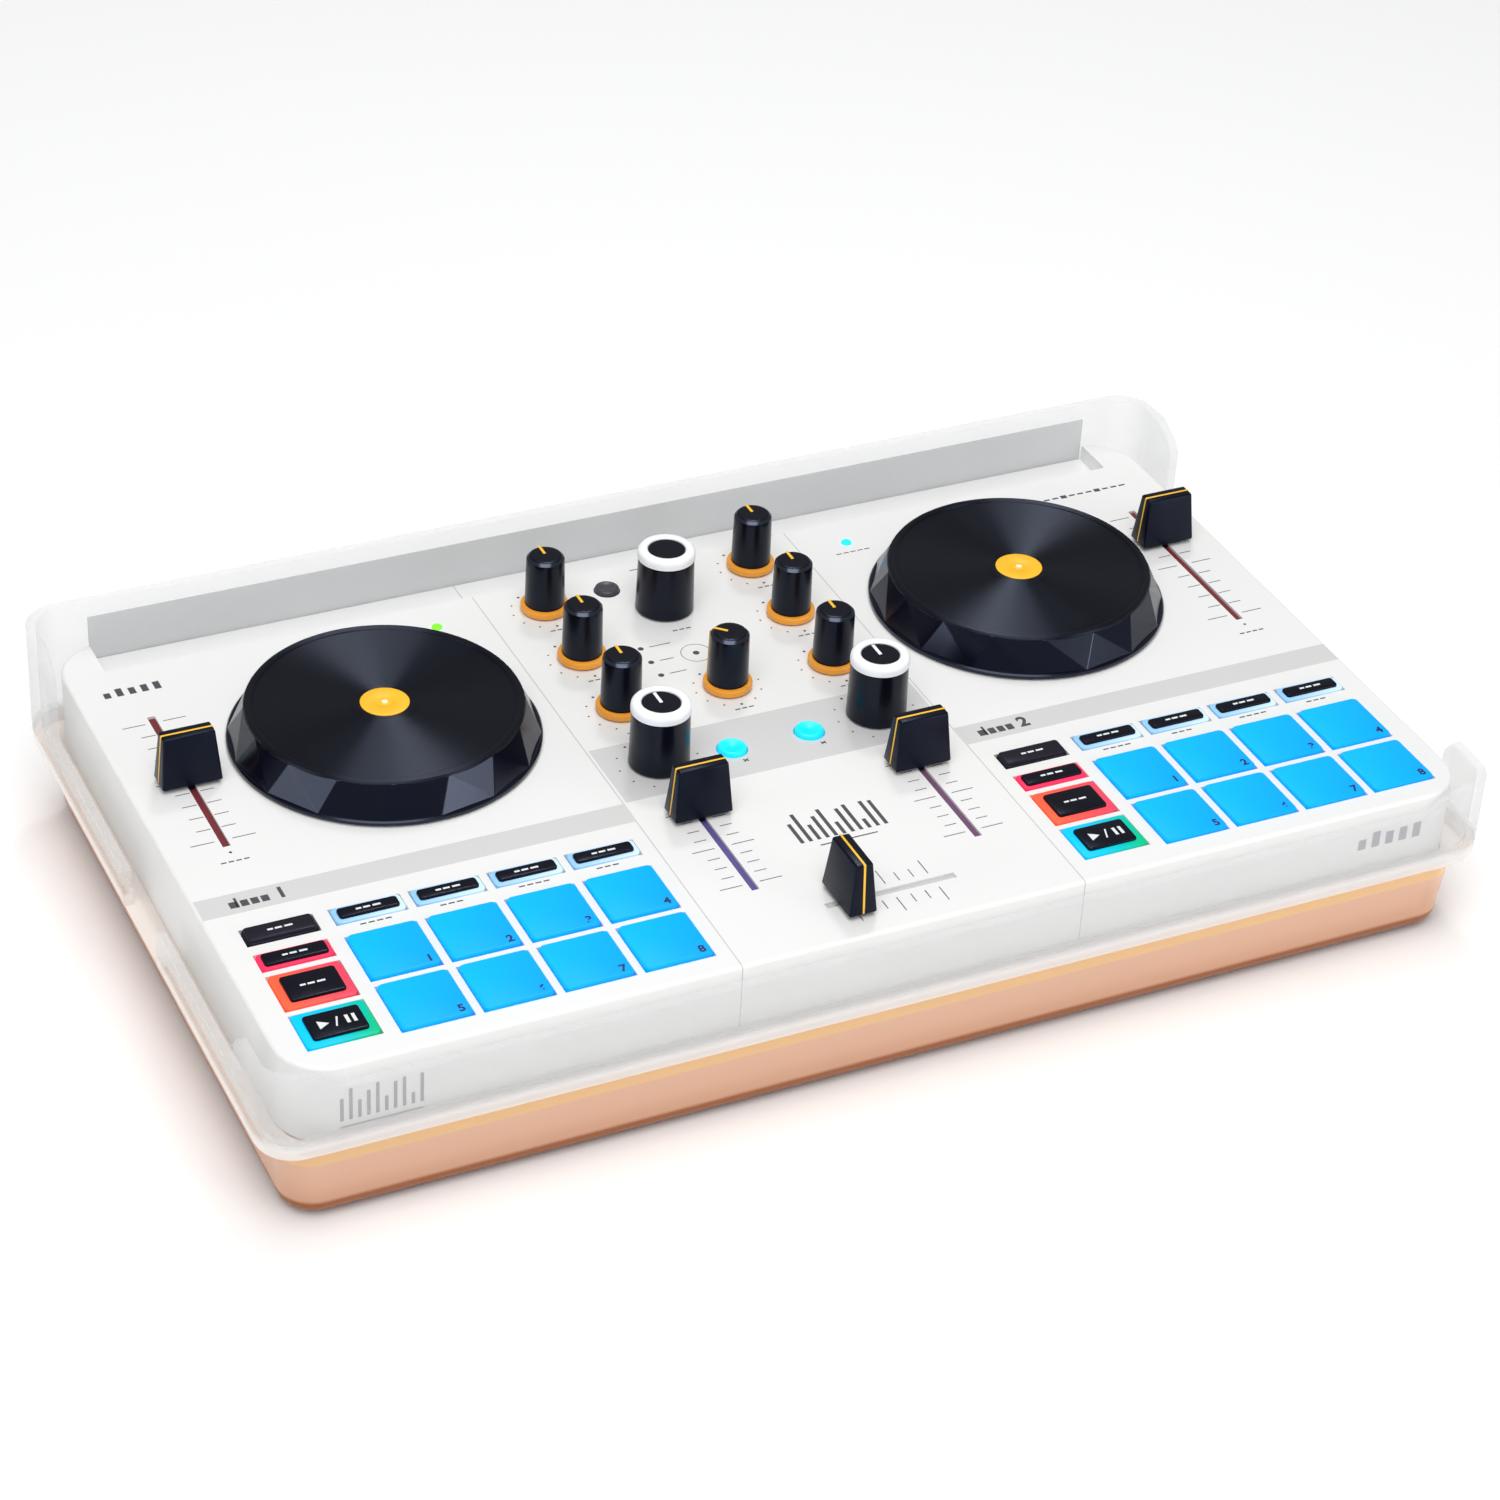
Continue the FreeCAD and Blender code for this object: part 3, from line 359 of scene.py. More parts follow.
# level bars in the mixer, behind the left pitch fader and behind the right jog wheel
for step in range(11):
    height = 4 + 9 * abs(math.sin(1.1 * step + 0.6))
    bar((step - 5) * 2.5 * MM, (-58 + height / 2) * MM, 1.1 * MM, height * MM)
bar(0, -60.5 * MM, 17 * MM, 0.45 * MM)
for step in range(5):
    height = 1.6 + 2.6 * abs(math.sin(1.7 * step + 0.4))
    bar((-163 + step * 3.6) * MM, (73 + height / 2) * MM, 1.9 * MM, height * MM)
for step in range(12):
    bar((128 + step * 2.9) * MM, 75 * MM, 2.0 * MM, 0.7 * MM if step % 4 else 1.6 * MM)

# signal path beside the centre knob: three short leads that run into a ring
ring_x, ring_y = -1.2 * MM, 36.2 * MM
for y, length in ((43.6, 6.5), (36.2, 4.2), (29.2, 5.2)):
    bar((-12.5 + length / 2) * MM, y * MM, length * MM, 0.3 * MM)
    dot(-15.2 * MM, y * MM, 0.9 * MM)
bpy.ops.mesh.primitive_torus_add(location=(ring_x, ring_y, plate_top - 0.15 * MM), major_radius=4.4 * MM,
                                 minor_radius=0.19 * MM, major_segments=40, minor_segments=6)
dot(ring_x, ring_y, 1.0 * MM)
bpy.ops.object.mode_set(mode="OBJECT")
fit(marks, "plate_print", "controller", ink, smooth=0)


def numeral(text, name, place, height, material):
    """A printed numeral of about that height, made a mesh."""
    bpy.ops.object.select_all(action="DESELECT")
    bpy.ops.object.text_add(location=place)
    letter = bpy.context.object
    letter.data.body = text
    letter.data.size = height * 1.4
    letter.data.extrude = ink_film
    letter.data.offset = height * 0.05
    letter.data.align_x = "CENTER"
    letter.data.align_y = "CENTER"
    bpy.ops.object.convert(target="MESH")
    letter = bpy.context.object
    letter.name = name
    letter.data.materials.clear()
    letter.data.materials.append(material)
    return letter


label_y = -28.4 * MM
for deck, text, x in (("left", "1", -148.5), ("right", "2", 70)):
    label = numeral(text, f"deck_numeral_{deck}", (x * MM, label_y, plate_top), 4.4 * MM, ink)
    fit(label, f"deck_numeral_{deck}", "controller", smooth=0)
    blocks = box_piece(((x - 12.2) * MM, label_y, plate_top), (0.7 * MM, 4.2 * MM, 2 * ink_film))
    bpy.ops.object.mode_set(mode="EDIT")
    word(x * MM, label_y - 0.7 * MM, (-13.3, -10.2, -7.4, -4.6), 2.1, 2.6)
    bpy.ops.object.mode_set(mode="OBJECT")
    fit(blocks, f"deck_blocks_{deck}", "controller", ink, smooth=0)

# marks on the front wall: a row of level bars with a line under it, and a shorter row at the right end
wall_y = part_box("top_shell")[0].y
front_print = box_piece((-148 * MM, wall_y, 29.6 * MM), (22 * MM, 2 * ink_film, 0.5 * MM))
bpy.ops.object.mode_set(mode="EDIT")
for count, first_x, pitch, width, foot_z, least, swing, pace, start in (
        (10, -158.5, 2.35, 0.95, 31.6, 3.5, 6.5, 1.1, 0.6), (5, 138, 4.4, 2.5, 36, 2, 3.6, 1.7, 0.4)):
    for step in range(count):
        height = least + swing * abs(math.sin(pace * step + start))
        bpy.ops.mesh.primitive_cube_add(
            size=1, location=((first_x + step * pitch) * MM, wall_y, (foot_z + height / 2) * MM),
            scale=(width * MM, 2 * ink_film, height * MM))
bpy.ops.object.mode_set(mode="OBJECT")
wall_ink = moulded("wall_ink", (0.24, 0.25, 0.28), 0.5, 0.3 * MM, 0.005 * MM)
fit(front_print, "wall_print", "controller", wall_ink, smooth=0)


def sheet(x, y, level, width, depth):
    """A flat rectangle, opened for editing and selected all over; sizes are in millimetres."""
    bpy.ops.object.select_all(action="DESELECT")
    bpy.ops.mesh.primitive_plane_add(size=1, location=(x * MM, y * MM, level * MM))
    piece = bpy.context.object
    piece.scale = (width * MM, depth * MM, 1)
    bpy.ops.object.transform_apply(location=True, rotation=True, scale=True)
    bpy.ops.object.mode_set(mode="EDIT")
    bpy.ops.mesh.select_all(action="SELECT")
    return piece


def raise_by(height):
    """Extrude the selected faces upwards by a height in millimetres."""
    bpy.ops.mesh.extrude_region_move(TRANSFORM_OT_translate={"value": (0, 0, height * MM)})


def face_outwards():
    """Turn all faces outwards and leave edit mode."""
    bpy.ops.mesh.select_all(action="SELECT")
    bpy.ops.mesh.normals_make_consistent(inside=False)
    bpy.ops.object.mode_set(mode="OBJECT")


# strips of coloured lining lie under the slots and show on both sides of the fader stems
lining_level = 47.9
LININGS = (("pitch_left", "red", -pitch_x, pitch_y, 2.2, 64.5),
           ("pitch_right", "red", pitch_x, pitch_y, 2.2, 64.5),
           ("volume_left", "blue", -volume_x, volume_y, 2.2, 41),
           ("volume_right", "violet", volume_x, volume_y, 2.2, 41), ("cross", "grey", 0, -85.3, 38, 2.2))
lining_colours = {"red": (0.16, 0.012, 0.02), "blue": (0.09, 0.07, 0.26), "violet": (0.15, 0.06, 0.14),
                  "grey": (0.55, 0.55, 0.55)}
lining = {colour: moulded(f"slot_lining_{colour}", value, 0.7, 0.3 * MM, 0.02 * MM)
          for colour, value in lining_colours.items()}
for name, colour, x, y, width, depth in LININGS:
    strip = sheet(x, y, lining_level, width, depth)
    raise_by(0.3)
    face_outwards()
    fit(strip, f"slot_lining_{name}", "controller", lining[colour], smooth=0)


# ---- jog wheels -------------------------------------------------------------------------------
# Gloss black dish with slanted facets round its skirt, a rounded rim, a grooved record face and a yellow
# label with a pale centre dot. It turns on the spindle of the jog sensor.
def stack_rings(outline, sides):
    """A round piece built from its foot up: a disc is drawn, then extruded and scaled through its outline."""
    bpy.ops.object.select_all(action="DESELECT")
    radius, level = outline[0]
    bpy.ops.mesh.primitive_circle_add(vertices=sides, radius=radius * MM, fill_type="NGON",
                                      location=(0, 0, level * MM))
    piece = bpy.context.object
    bpy.ops.object.transform_apply(location=True, rotation=False, scale=False)
    bpy.ops.object.mode_set(mode="EDIT")
    bpy.ops.mesh.select_all(action="SELECT")
    for (radius_0, level_0), (radius_1, level_1) in zip(outline, outline[1:]):
        raise_by(level_1 - level_0)
        growth = radius_1 / radius_0
        bpy.ops.transform.resize(value=(growth, growth, 1), center_override=(0, 0, level_1 * MM))
    face_outwards()
    return piece


def copy_to(master, name, x, y, turn=0.0):
    """A copy of a master piece with its own mesh, turned and moved to its place."""
    piece = master.copy()
    piece.data = master.data.copy()
    bpy.context.scene.collection.objects.link(piece)
    piece.name = name
    piece.rotation_euler = (0, 0, turn)
    piece.location = (x, y, 0)
    select_only(piece)
    bpy.ops.object.transform_apply(location=True, rotation=True, scale=True)
    return piece


def paint(piece, index, wanted):
    """Give the faces for which wanted(centre) is true the piece's material of that index."""
    for face in piece.data.polygons:
        if wanted(face.center):
            face.material_index = index


def gloss_black(name, colour, roughness, grain, sheen):
    """Black plastic with a faint blue cast in its reflections."""
    material = moulded(name, colour, roughness, grain, 0.003 * MM, sheen=sheen)
    material.node_tree.nodes["Principled BSDF"].inputs["Specular Tint"].default_value = (0.62, 0.72, 1.0, 1)
    return material


skirt_black = gloss_black("skirt_black", (0.002, 0.002, 0.007), 0.2, 0.5 * MM, 0.5)
record_black = gloss_black("record_black", (0.002, 0.002, 0.004), 0.42, 0.5 * MM, 0.5)
record_shader = record_black.node_tree.nodes["Principled BSDF"]
record_shader.inputs["Anisotropic"].default_value = 1.0
record_shader.inputs["Anisotropic Rotation"].default_value = 0.25
sweep = record_black.node_tree.nodes.new("ShaderNodeTangent")
sweep.direction_type = "RADIAL"
sweep.axis = "Z"
record_black.node_tree.links.new(sweep.outputs["Tangent"], record_shader.inputs["Tangent"])
label_yellow = moulded("label_yellow", (0.98, 0.50, 0.01), 0.45, 0.4 * MM, 0.004 * MM)
dot_cream = moulded("dot_cream", (0.9, 0.85, 0.6), 0.4, 0.4 * MM, 0.004 * MM)

# outlines of round pieces are pairs of radius and level in millimetres
foot = stack_rings([(42.6, 49.4), (43.3, 49.7), (43.3, 50.5), (42.9, 50.9), (40.5, 50.9)], 128)
bpy.ops.object.select_all(action="DESELECT")
bpy.ops.mesh.primitive_cone_add(vertices=16, radius1=43.0 * MM, radius2=38.6 * MM, depth=9.2 * MM,
                                end_fill_type="NGON", location=(0, 0, 55.3 * MM))
facets = bpy.context.object
bpy.ops.object.transform_apply(location=True, rotation=False, scale=False)
bpy.ops.object.mode_set(mode="EDIT")
bpy.ops.mesh.select_all(action="DESELECT")
bpy.ops.object.mode_set(mode="OBJECT")
skirt_middle = 55.3 * MM
for vertex in facets.data.vertices:
    vertex.select = vertex.co.z > skirt_middle
bpy.ops.object.mode_set(mode="EDIT")
bpy.ops.transform.rotate(value=math.radians(17), orient_axis="Z", center_override=(0, 0, 0))
bpy.ops.mesh.select_all(action="SELECT")
bpy.ops.mesh.quads_convert_to_tris(quad_method="FIXED_ALTERNATE")
bpy.ops.mesh.select_mode(type="EDGE")
bpy.ops.mesh.select_all(action="SELECT")
bpy.ops.mesh.bevel(offset=0.15 * MM, segments=1, affect="EDGES")
bpy.ops.object.mode_set(mode="OBJECT")

rim = [(38.2, 59.2), (38.5, 59.9), (38.2, 60.4), (37.6, 60.6), (36.8, 60.6), (36.3, 60.4), (36.1, 60.1)]
grooves = []
radius = 35.8
groove_pitch = 1.05
while radius > 10:
    grooves += [(radius, 60.12), (radius - 0.45, 60.145)]
    radius -= groove_pitch
run_out = [(9.6, 60.1), (9.2, 60.22), (7.2, 60.22), (6.9, 60.1)]
face = stack_rings(rim + grooves + run_out, 128)
label = stack_rings([(6.8, 60.0), (6.8, 60.28), (6.5, 60.36), (2.4, 60.36), (2.3, 60.3), (1.2, 60.3),
                     (1.1, 60.36)], 64)
centre_dot = stack_rings([(0.9, 60.2), (0.9, 60.42), (0.6, 60.5)], 24)

for deck, _ in DECKS:
    node = f"jog_wheel_{deck}"
    x, y, _ = middle(node)
    for master, part, material, slot, smooth in (
            (foot, "foot", skirt_black, "control_black", 32),
            (facets, "skirt", skirt_black, "control_black", 0),
            (face, "record", record_black, "control_black", 32),
            (label, "label", label_yellow, "marker_yellow", 32),
            (centre_dot, "dot", dot_cream, "ring_white", 32)):
        piece = copy_to(master, f"{node}_{part}", x, y)
        fit(piece, f"{node}_{part}", node, material, smooth)
        if part == "record":
            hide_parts(node)
for master in (foot, facets, face, label, centre_dot):
    bpy.data.objects.remove(master)


# ---- small knobs ------------------------------------------------------------------------------
# Satin black grip with fine flutes over an orange collar; a yellow pointer is printed from the middle of the
# top to its edge and down the side. The centre knob stands turned to the left.
knob_black = gloss_black("knob_black", (0.003, 0.003, 0.006), 0.24, 0.3 * MM, 0.3)
collar_orange = moulded("collar_orange", (0.90, 0.36, 0.03), 0.4, 0.3 * MM, 0.006 * MM)
pointer_yellow = moulded("pointer_yellow", (0.95, 0.52, 0.02), 0.45, 0.3 * MM, 0.003 * MM)


def flute(piece, low, high, every, depth):
    """Draw in every n-th line of vertices of a round grip between two levels."""
    select_only(piece)
    for vertex in piece.data.vertices:
        angle = math.degrees(math.atan2(vertex.co.y, vertex.co.x)) % 360
        line = round(angle / every)
        inside = low * MM < vertex.co.z < high * MM
        vertex.select = inside and line % 2 == 0 and abs(angle - line * every) < 0.5
    bpy.ops.object.mode_set(mode="EDIT")
    bpy.ops.mesh.select_mode(type="VERT")
    bpy.ops.transform.resize(value=(1 - depth, 1 - depth, 1), center_override=(0, 0, 0))
    bpy.ops.object.mode_set(mode="OBJECT")


def pointer_box(place, size, tilt=0.0):
    """A printed pointer with its edges rounded off; place and size are in millimetres."""
    piece = box_piece(Vector(place) * MM, Vector(size) * MM, (math.radians(tilt), 0, 0))
    bpy.ops.object.modifier_add(type="BEVEL")
    piece.modifiers["Bevel"].width = 0.06 * MM
    piece.modifiers["Bevel"].segments = 2
    bpy.ops.object.modifier_apply(modifier="Bevel")
    return piece


collar = stack_rings([(6.5, 49.4), (6.9, 49.6), (7.0, 49.9), (7.0, 51.1), (6.8, 51.5), (6.4, 51.6),
                      (5.6, 51.6)], 64)
grip = stack_rings([(5.9, 51.4), (6.1, 51.6), (6.1, 52.4), (6.09, 52.8), (5.86, 65.2), (5.84, 65.9),
                    (5.75, 66.5), (5.0, 67.25), (4.7, 67.42), (4.3, 67.5), (2.0, 67.42)], 96)
flute(grip, 52.7, 65.4, 7.5, 0.05)
grip.data.materials.append(knob_black)
grip.data.materials.append(gloss_black("knob_edge", (0.008, 0.008, 0.012), 0.2, 0.3 * MM, 1.0))
paint(grip, 1, lambda centre: 66.55 * MM < centre.z < 67.2 * MM)
pointer = pointer_box((0, 2.8, 67.46), (0.85, 4.2, 0.16))
stripe = pointer_box((0, 5.96, 59.4), (0.8, 0.3, 14.0), 1.05)
select_only(pointer)
stripe.select_set(True)
bpy.ops.object.join()

centre_turn = math.radians(47)
for name in small_knobs:
    x, y, _ = middle(name)
    turn = centre_turn if name == "centre_knob" else 0.0
    for master, part, material, slot in ((collar, "collar", collar_orange, "collar_orange"),
                                         (grip, "grip", None, "control_black"),
                                         (pointer, "pointer", pointer_yellow, "marker_yellow")):
        piece = fit(copy_to(master, f"{name}_{part}", x, y, turn), f"{name}_{part}", name, material, 20)
        if part == "grip":
            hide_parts(name)
for master in (collar, grip, pointer):
    bpy.data.objects.remove(master)


# ---- filter knobs and browse encoder ----------------------------------------------------------
# Wider black grips capped with a thick white ring round a sunk black disc. The filter knobs have a white
# pointer on the disc; the encoder turns without end and has none.
ring_white = moulded("ring_white", (0.90, 0.91, 0.92), 0.3, 0.3 * MM, 0.004 * MM, shift=0.02)
wide_grip = stack_rings([(8.5, 49.4), (8.8, 49.7), (8.78, 50.8), (8.76, 51.2), (8.42, 65.8), (8.41, 66.1),
                         (8.3, 66.4), (6.0, 66.4)], 96)
flute(wide_grip, 51.1, 66.0, 7.5, 0.035)
white_ring = stack_rings([(8.0, 66.3), (8.34, 66.5), (8.38, 67.6), (8.25, 68.5), (7.8, 69.1), (7.2, 69.38),
                          (6.5, 69.4), (5.75, 69.25), (5.5, 68.95), (5.45, 68.5)], 90)
sunk_disc = stack_rings([(5.4, 68.3), (5.4, 68.7), (5.2, 68.85), (2.5, 68.8)], 64)
white_pointer = pointer_box((0, 2.4, 68.88), (0.95, 5.0, 0.2))
for name in ("filter_knob_left", "filter_knob_right", "browse_encoder"):
    x, y, _ = middle(name)
    pieces = [(wide_grip, "grip", knob_black, "control_black"),
              (white_ring, "ring", ring_white, "ring_white"),
              (sunk_disc, "disc", knob_black, "control_black")]
    if name != "browse_encoder":
        pieces.append((white_pointer, "pointer", ring_white, "ring_white"))
    for master, part, material, slot in pieces:
        piece = fit(copy_to(master, f"{name}_{part}", x, y), f"{name}_{part}", name, material)
        if part == "grip":
            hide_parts(name)
for master in (wide_grip, white_ring, sunk_disc, white_pointer):
    bpy.data.objects.remove(master)


# ---- fader caps -------------------------------------------------------------------------------
# Satin black caps, wider at the foot, with a crease low on both faces and a yellow line let into the ridge
# and both ends. A flat black stem goes down through the slot to the carriage.
cap_black = gloss_black("cap_black", (0.003, 0.004, 0.010), 0.3, 0.25 * MM, 0.2)


def select_edges(piece, wanted):
    """Select the edges for which wanted(end, other end) is true, and go to edit mode."""
    select_only(piece)
    mesh = piece.data
    for vertex in mesh.vertices:
        vertex.select = False
    for polygon in mesh.polygons:
        polygon.select = False
    for edge in mesh.edges:
        edge.select = wanted(mesh.vertices[edge.vertices[0]].co, mesh.vertices[edge.vertices[1]].co)
    bpy.ops.object.mode_set(mode="EDIT")
    bpy.ops.mesh.select_mode(type="EDGE")


def tapered_block(low, crease, high, foot_size, crease_size, top_size):
    """A block that narrows in two stages; sizes are (x, y) in millimetres."""
    piece = sheet(0, 0, low, *foot_size)
    for level_0, level_1, size_0, size_1 in ((low, crease, foot_size, crease_size),
                                             (crease, high, crease_size, top_size)):
        raise_by(level_1 - level_0)
        bpy.ops.transform.resize(value=(size_1[0] / size_0[0], size_1[1] / size_0[1], 1),
                                 center_override=(0, 0, level_1 * MM))
    face_outwards()
    return piece


def bevel_edges(piece, wanted, offset, segments):
    """Round off the wanted edges; the offset is in millimetres."""
    select_edges(piece, wanted)
    bpy.ops.mesh.bevel(offset=offset * MM, segments=segments, affect="EDGES")
    bpy.ops.object.mode_set(mode="OBJECT")


cap = tapered_block(50.2, 54.0, 65.5, (17, 8.2), (16.4, 7.3), (14.5, 4.9))
bevel_edges(cap, lambda a, b: True, 0.55, 3)
line = tapered_block(50.6, 54.0, 65.58, (17.02, 0.75), (16.5, 0.75), (14.62, 0.75))
bevel_edges(line, lambda a, b: True, 0.2, 2)
stem = tapered_block(43, 47, 50.6, (1.6, 5.4), (1.6, 5.4), (1.6, 5.4))
for name in ("pitch_fader_left", "pitch_fader_right", "volume_fader_left", "volume_fader_right",
             "crossfader"):
    x, y, _ = middle(name)
    turn = math.radians(90) if name == "crossfader" else 0.0
    for master, part, material, slot in ((cap, "cap", cap_black, "control_black"),
                                         (line, "line", pointer_yellow, "marker_yellow"),
                                         (stem, "stem", knob_black, "control_black")):
        piece = fit(copy_to(master, f"{name}_{part}", x, y, turn), f"{name}_{part}", name, material)
        if part == "cap":
            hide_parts(name)
for master in (cap, line, stem):
    bpy.data.objects.remove(master)


# ---- performance pads --------------------------------------------------------------------------
# Soft translucent silicone pads lit blue from below, brighter towards the back right, each with a small dark
# numeral moulded in at its front right corner.
def lit(name, first, second, glow, roughness, angle=0.0):
    """A lit translucent finish whose colour runs from first to second across the piece's own map."""
    material = moulded(name, first, roughness, 0.35 * MM, 0.012 * MM, sheen=0.15)
    nodes = material.node_tree.nodes
    links = material.node_tree.links
    shader = nodes["Principled BSDF"]
    flat = nodes.new("ShaderNodeUVMap")
    flat.uv_map = "top"
    turned = nodes.new("ShaderNodeMapping")
    turned.inputs["Location"].default_value = (0.5, 0.5, 0)
    turned.inputs["Rotation"].default_value = (0, 0, angle)
    apart = nodes.new("ShaderNodeSeparateXYZ")
    links.new(flat.outputs["UV"], turned.inputs["Vector"])
    links.new(turned.outputs["Vector"], apart.inputs["Vector"])
    lit_colour = mixed(nodes, links, apart.outputs["X"], first, second)
    links.new(lit_colour, shader.inputs["Base Color"])
    links.new(lit_colour, shader.inputs["Emission Color"])
    shader.inputs["Emission Strength"].default_value = glow
    return material


def map_top(piece, x, y, width, depth):
    """A map named top, laid over the piece from above: -0.5 to 0.5 across its width and depth."""
    layer = piece.data.uv_layers.get("top") or piece.data.uv_layers.new(name="top")
    for loop in piece.data.loops:
        place = piece.data.vertices[loop.vertex_index].co
        layer.data[loop.index].uv = ((place.x - x) / width, (place.y - y) / depth)


def rounded_slab(low, high, width, depth, corner, edge):
    """A slab round its own origin, with round corners and a soft top edge; sizes in millimetres."""
    piece = box_piece((0, 0, (low + high) / 2 * MM), (width * MM, depth * MM, (high - low) * MM))
    bevel_edges(piece, lambda a, b: abs(a.z - b.z) > 0.1 * MM, corner, 5)
    top = (high - 0.01) * MM
    bevel_edges(piece, lambda a, b: a.z > top and b.z > top, edge, 3)
    return piece


pad_blue = lit("pad_blue", (0.0, 0.38, 0.98), (0.0, 0.30, 0.92), 0.40, 0.42, math.radians(35))
pad_ink = moulded("pad_ink", (0.004, 0.02, 0.09), 0.5, 0.3 * MM, 0.004 * MM)
pad_size = 19.2
figure_x, figure_y, figure_height = 7.1 * MM, -7.0 * MM, 2.7 * MM
pad = rounded_slab(46.2, 49.9, pad_size, pad_size, 1.6, 0.5)
for deck, _ in DECKS:
    for number in range(1, 9):
        name = f"pad_{deck}_{number}"
        x, y, top = middle(name)
        piece = copy_to(pad, f"{name}_cap", x, y)
        map_top(piece, x, y, pad_size * MM, pad_size * MM)
        fit(piece, f"{name}_cap", name, pad_blue)
        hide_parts(name)
        corner = (x + figure_x, y + figure_y, top)
        figure = numeral(str(number), f"{name}_numeral", corner, figure_height, pad_ink)
        fit(figure, f"{name}_numeral", name, smooth=0)
bpy.data.objects.remove(pad)


# ---- mode and transport buttons ----------------------------------------------------------------
# Two-shot caps: a translucent ring, lit from below, with a raised gloss black top. The marks on the tops
# are light grey ink. The shift button is plain dark grey.
top_black = gloss_black("button_black", (0.003, 0.003, 0.007), 0.26, 0.3 * MM, 0.2)
shift_grey = gloss_black("shift_grey", (0.012, 0.009, 0.015), 0.3, 0.3 * MM, 0.25)
mark_white = moulded("mark_white", (0.75, 0.78, 0.8), 0.5, 0.3 * MM, 0.003 * MM)
mode_glow = lit("mode_glow", (0.26, 0.52, 0.82), (0.58, 0.76, 0.90), 0.18, 0.35)
sync_glow = lit("sync_glow", (0.98, 0.03, 0.10), (0.85, 0.03, 0.10), 0.40, 0.35)
cue_glow = lit("cue_glow", (0.99, 0.10, 0.04), (0.62, 0.05, 0.10), 0.40, 0.35)
play_glow = lit("play_glow", (0.0, 0.46, 0.96), (0.0, 0.42, 0.20), 0.40, 0.35, math.radians(15))
# kind: (width, depth, ring width, ring finish, top finish, slot); sizes are in millimetres
BUTTONS = {
    "mode": (19.2, 6.7, 1.35, mode_glow, top_black, "light_cyan"),
    "shift": (19.4, 6.9, 0.5, shift_grey, shift_grey, "button_black"),
    "sync": (19.4, 7.0, 1.1, sync_glow, top_black, "light_red"),
    "cue": (19.4, 14.7, 2.3, cue_glow, top_black, "light_red"),
    "play": (19.4, 14.2, 2.3, play_glow, top_black, "light_green"),
}


def button_marks(kind, x, y, top):
    """The light marks on a button's top: play and pause signs, or short bars in place of words."""
    z = top - ink_film / 2
    if kind == "play":
        bpy.ops.object.select_all(action="DESELECT")
        bpy.ops.mesh.primitive_cylinder_add(vertices=3, radius=1.9 * MM, depth=2 * ink_film,
                                            location=(x - 3.6 * MM, y, z), rotation=(0, 0, math.radians(-90)))
        signs = bpy.context.object
        bpy.ops.object.transform_apply(location=True, rotation=True, scale=True)
        bars = ((0.3, 0.45, 3.8, -18), (3.1, 0.9, 3.2, 0), (4.9, 0.9, 3.2, 0))
    else:
        signs = box_piece((x - 2.6 * MM, y, z), (1.5 * MM, 0.7 * MM, 2 * ink_film))
        bars = ((-0.4, 1.9, 0.7, 0), (2.3, 2.2, 0.7, 0))
    bpy.ops.object.mode_set(mode="EDIT")
    for offset, width, depth, turn in bars:
        bar(x + offset * MM, y, width * MM, depth * MM, math.radians(turn), z)
    bpy.ops.object.mode_set(mode="OBJECT")
    return signs


for kind, (width, depth, ring, glow, cover, slot) in BUTTONS.items():
    ring_master = rounded_slab(46.2, 49.4, width, depth, 1.5, 0.3)
    top_master = rounded_slab(48.8, 50.2, width - 2 * ring, depth - 2 * ring, 0.9, 0.3)
    for deck, _ in DECKS:
        names = [f"{kind}_button_{deck}"]
        if kind == "mode":
            names = [f"mode_button_{deck}_{number}" for number in range(1, 5)]
        for name in names:
            x, y, top = middle(name)
            piece = copy_to(ring_master, f"{name}_ring", x, y)
            map_top(piece, x, y, width * MM, depth * MM)
            fit(piece, f"{name}_ring", name, glow)
            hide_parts(name)
            fit(copy_to(top_master, f"{name}_top", x, y), f"{name}_top", name, cover)
            fit(button_marks(kind, x, y, top), f"{name}_marks", name, mark_white, smooth=0)
    bpy.data.objects.remove(ring_master)
    bpy.data.objects.remove(top_master)


# ---- round buttons and status lights -------------------------------------------------------------
# Two lit load buttons in the mixer's band, a grey view button beside the encoder, and two tiny domed light
# pipes behind the jog wheels, green and cyan.
def lamp_finish(name, colour, roughness, depth, glow):
    """A finish lit evenly in its own colour."""
    material = moulded(name, colour, roughness, 0.3 * MM, depth)
    shader = material.node_tree.nodes["Principled BSDF"]
    shader.inputs["Emission Color"].default_value = (*colour, 1)
    shader.inputs["Emission Strength"].default_value = glow
    return material


load_glow = lamp_finish("load_cyan", (0.0, 0.62, 0.88), 0.35, 0.004 * MM, 0.5)
view_grey = moulded("view_grey", (0.045, 0.047, 0.055), 0.35, 0.3 * MM, 0.004 * MM)
for name, size, material, slot in (("load_button_left", 4.0, load_glow, "light_cyan"),
                                   ("load_button_right", 4.0, load_glow, "light_cyan"),
                                   ("view_button", 3.6, view_grey, "button_black")):
    x, y, _ = middle(name)
    round_cap = stack_rings([(size, 46.2), (size, 49.7), (size - 0.15, 50.0), (size - 0.5, 50.2),
                             (size * 0.45, 50.12), (size * 0.4, 50.0)], 48)
    piece = fit(copy_to(round_cap, f"{name}_cap", x, y), f"{name}_cap", name, material)
    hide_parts(name)
    bpy.data.objects.remove(round_cap)
status_x, status_y = 65.3 * MM, 74.5 * MM
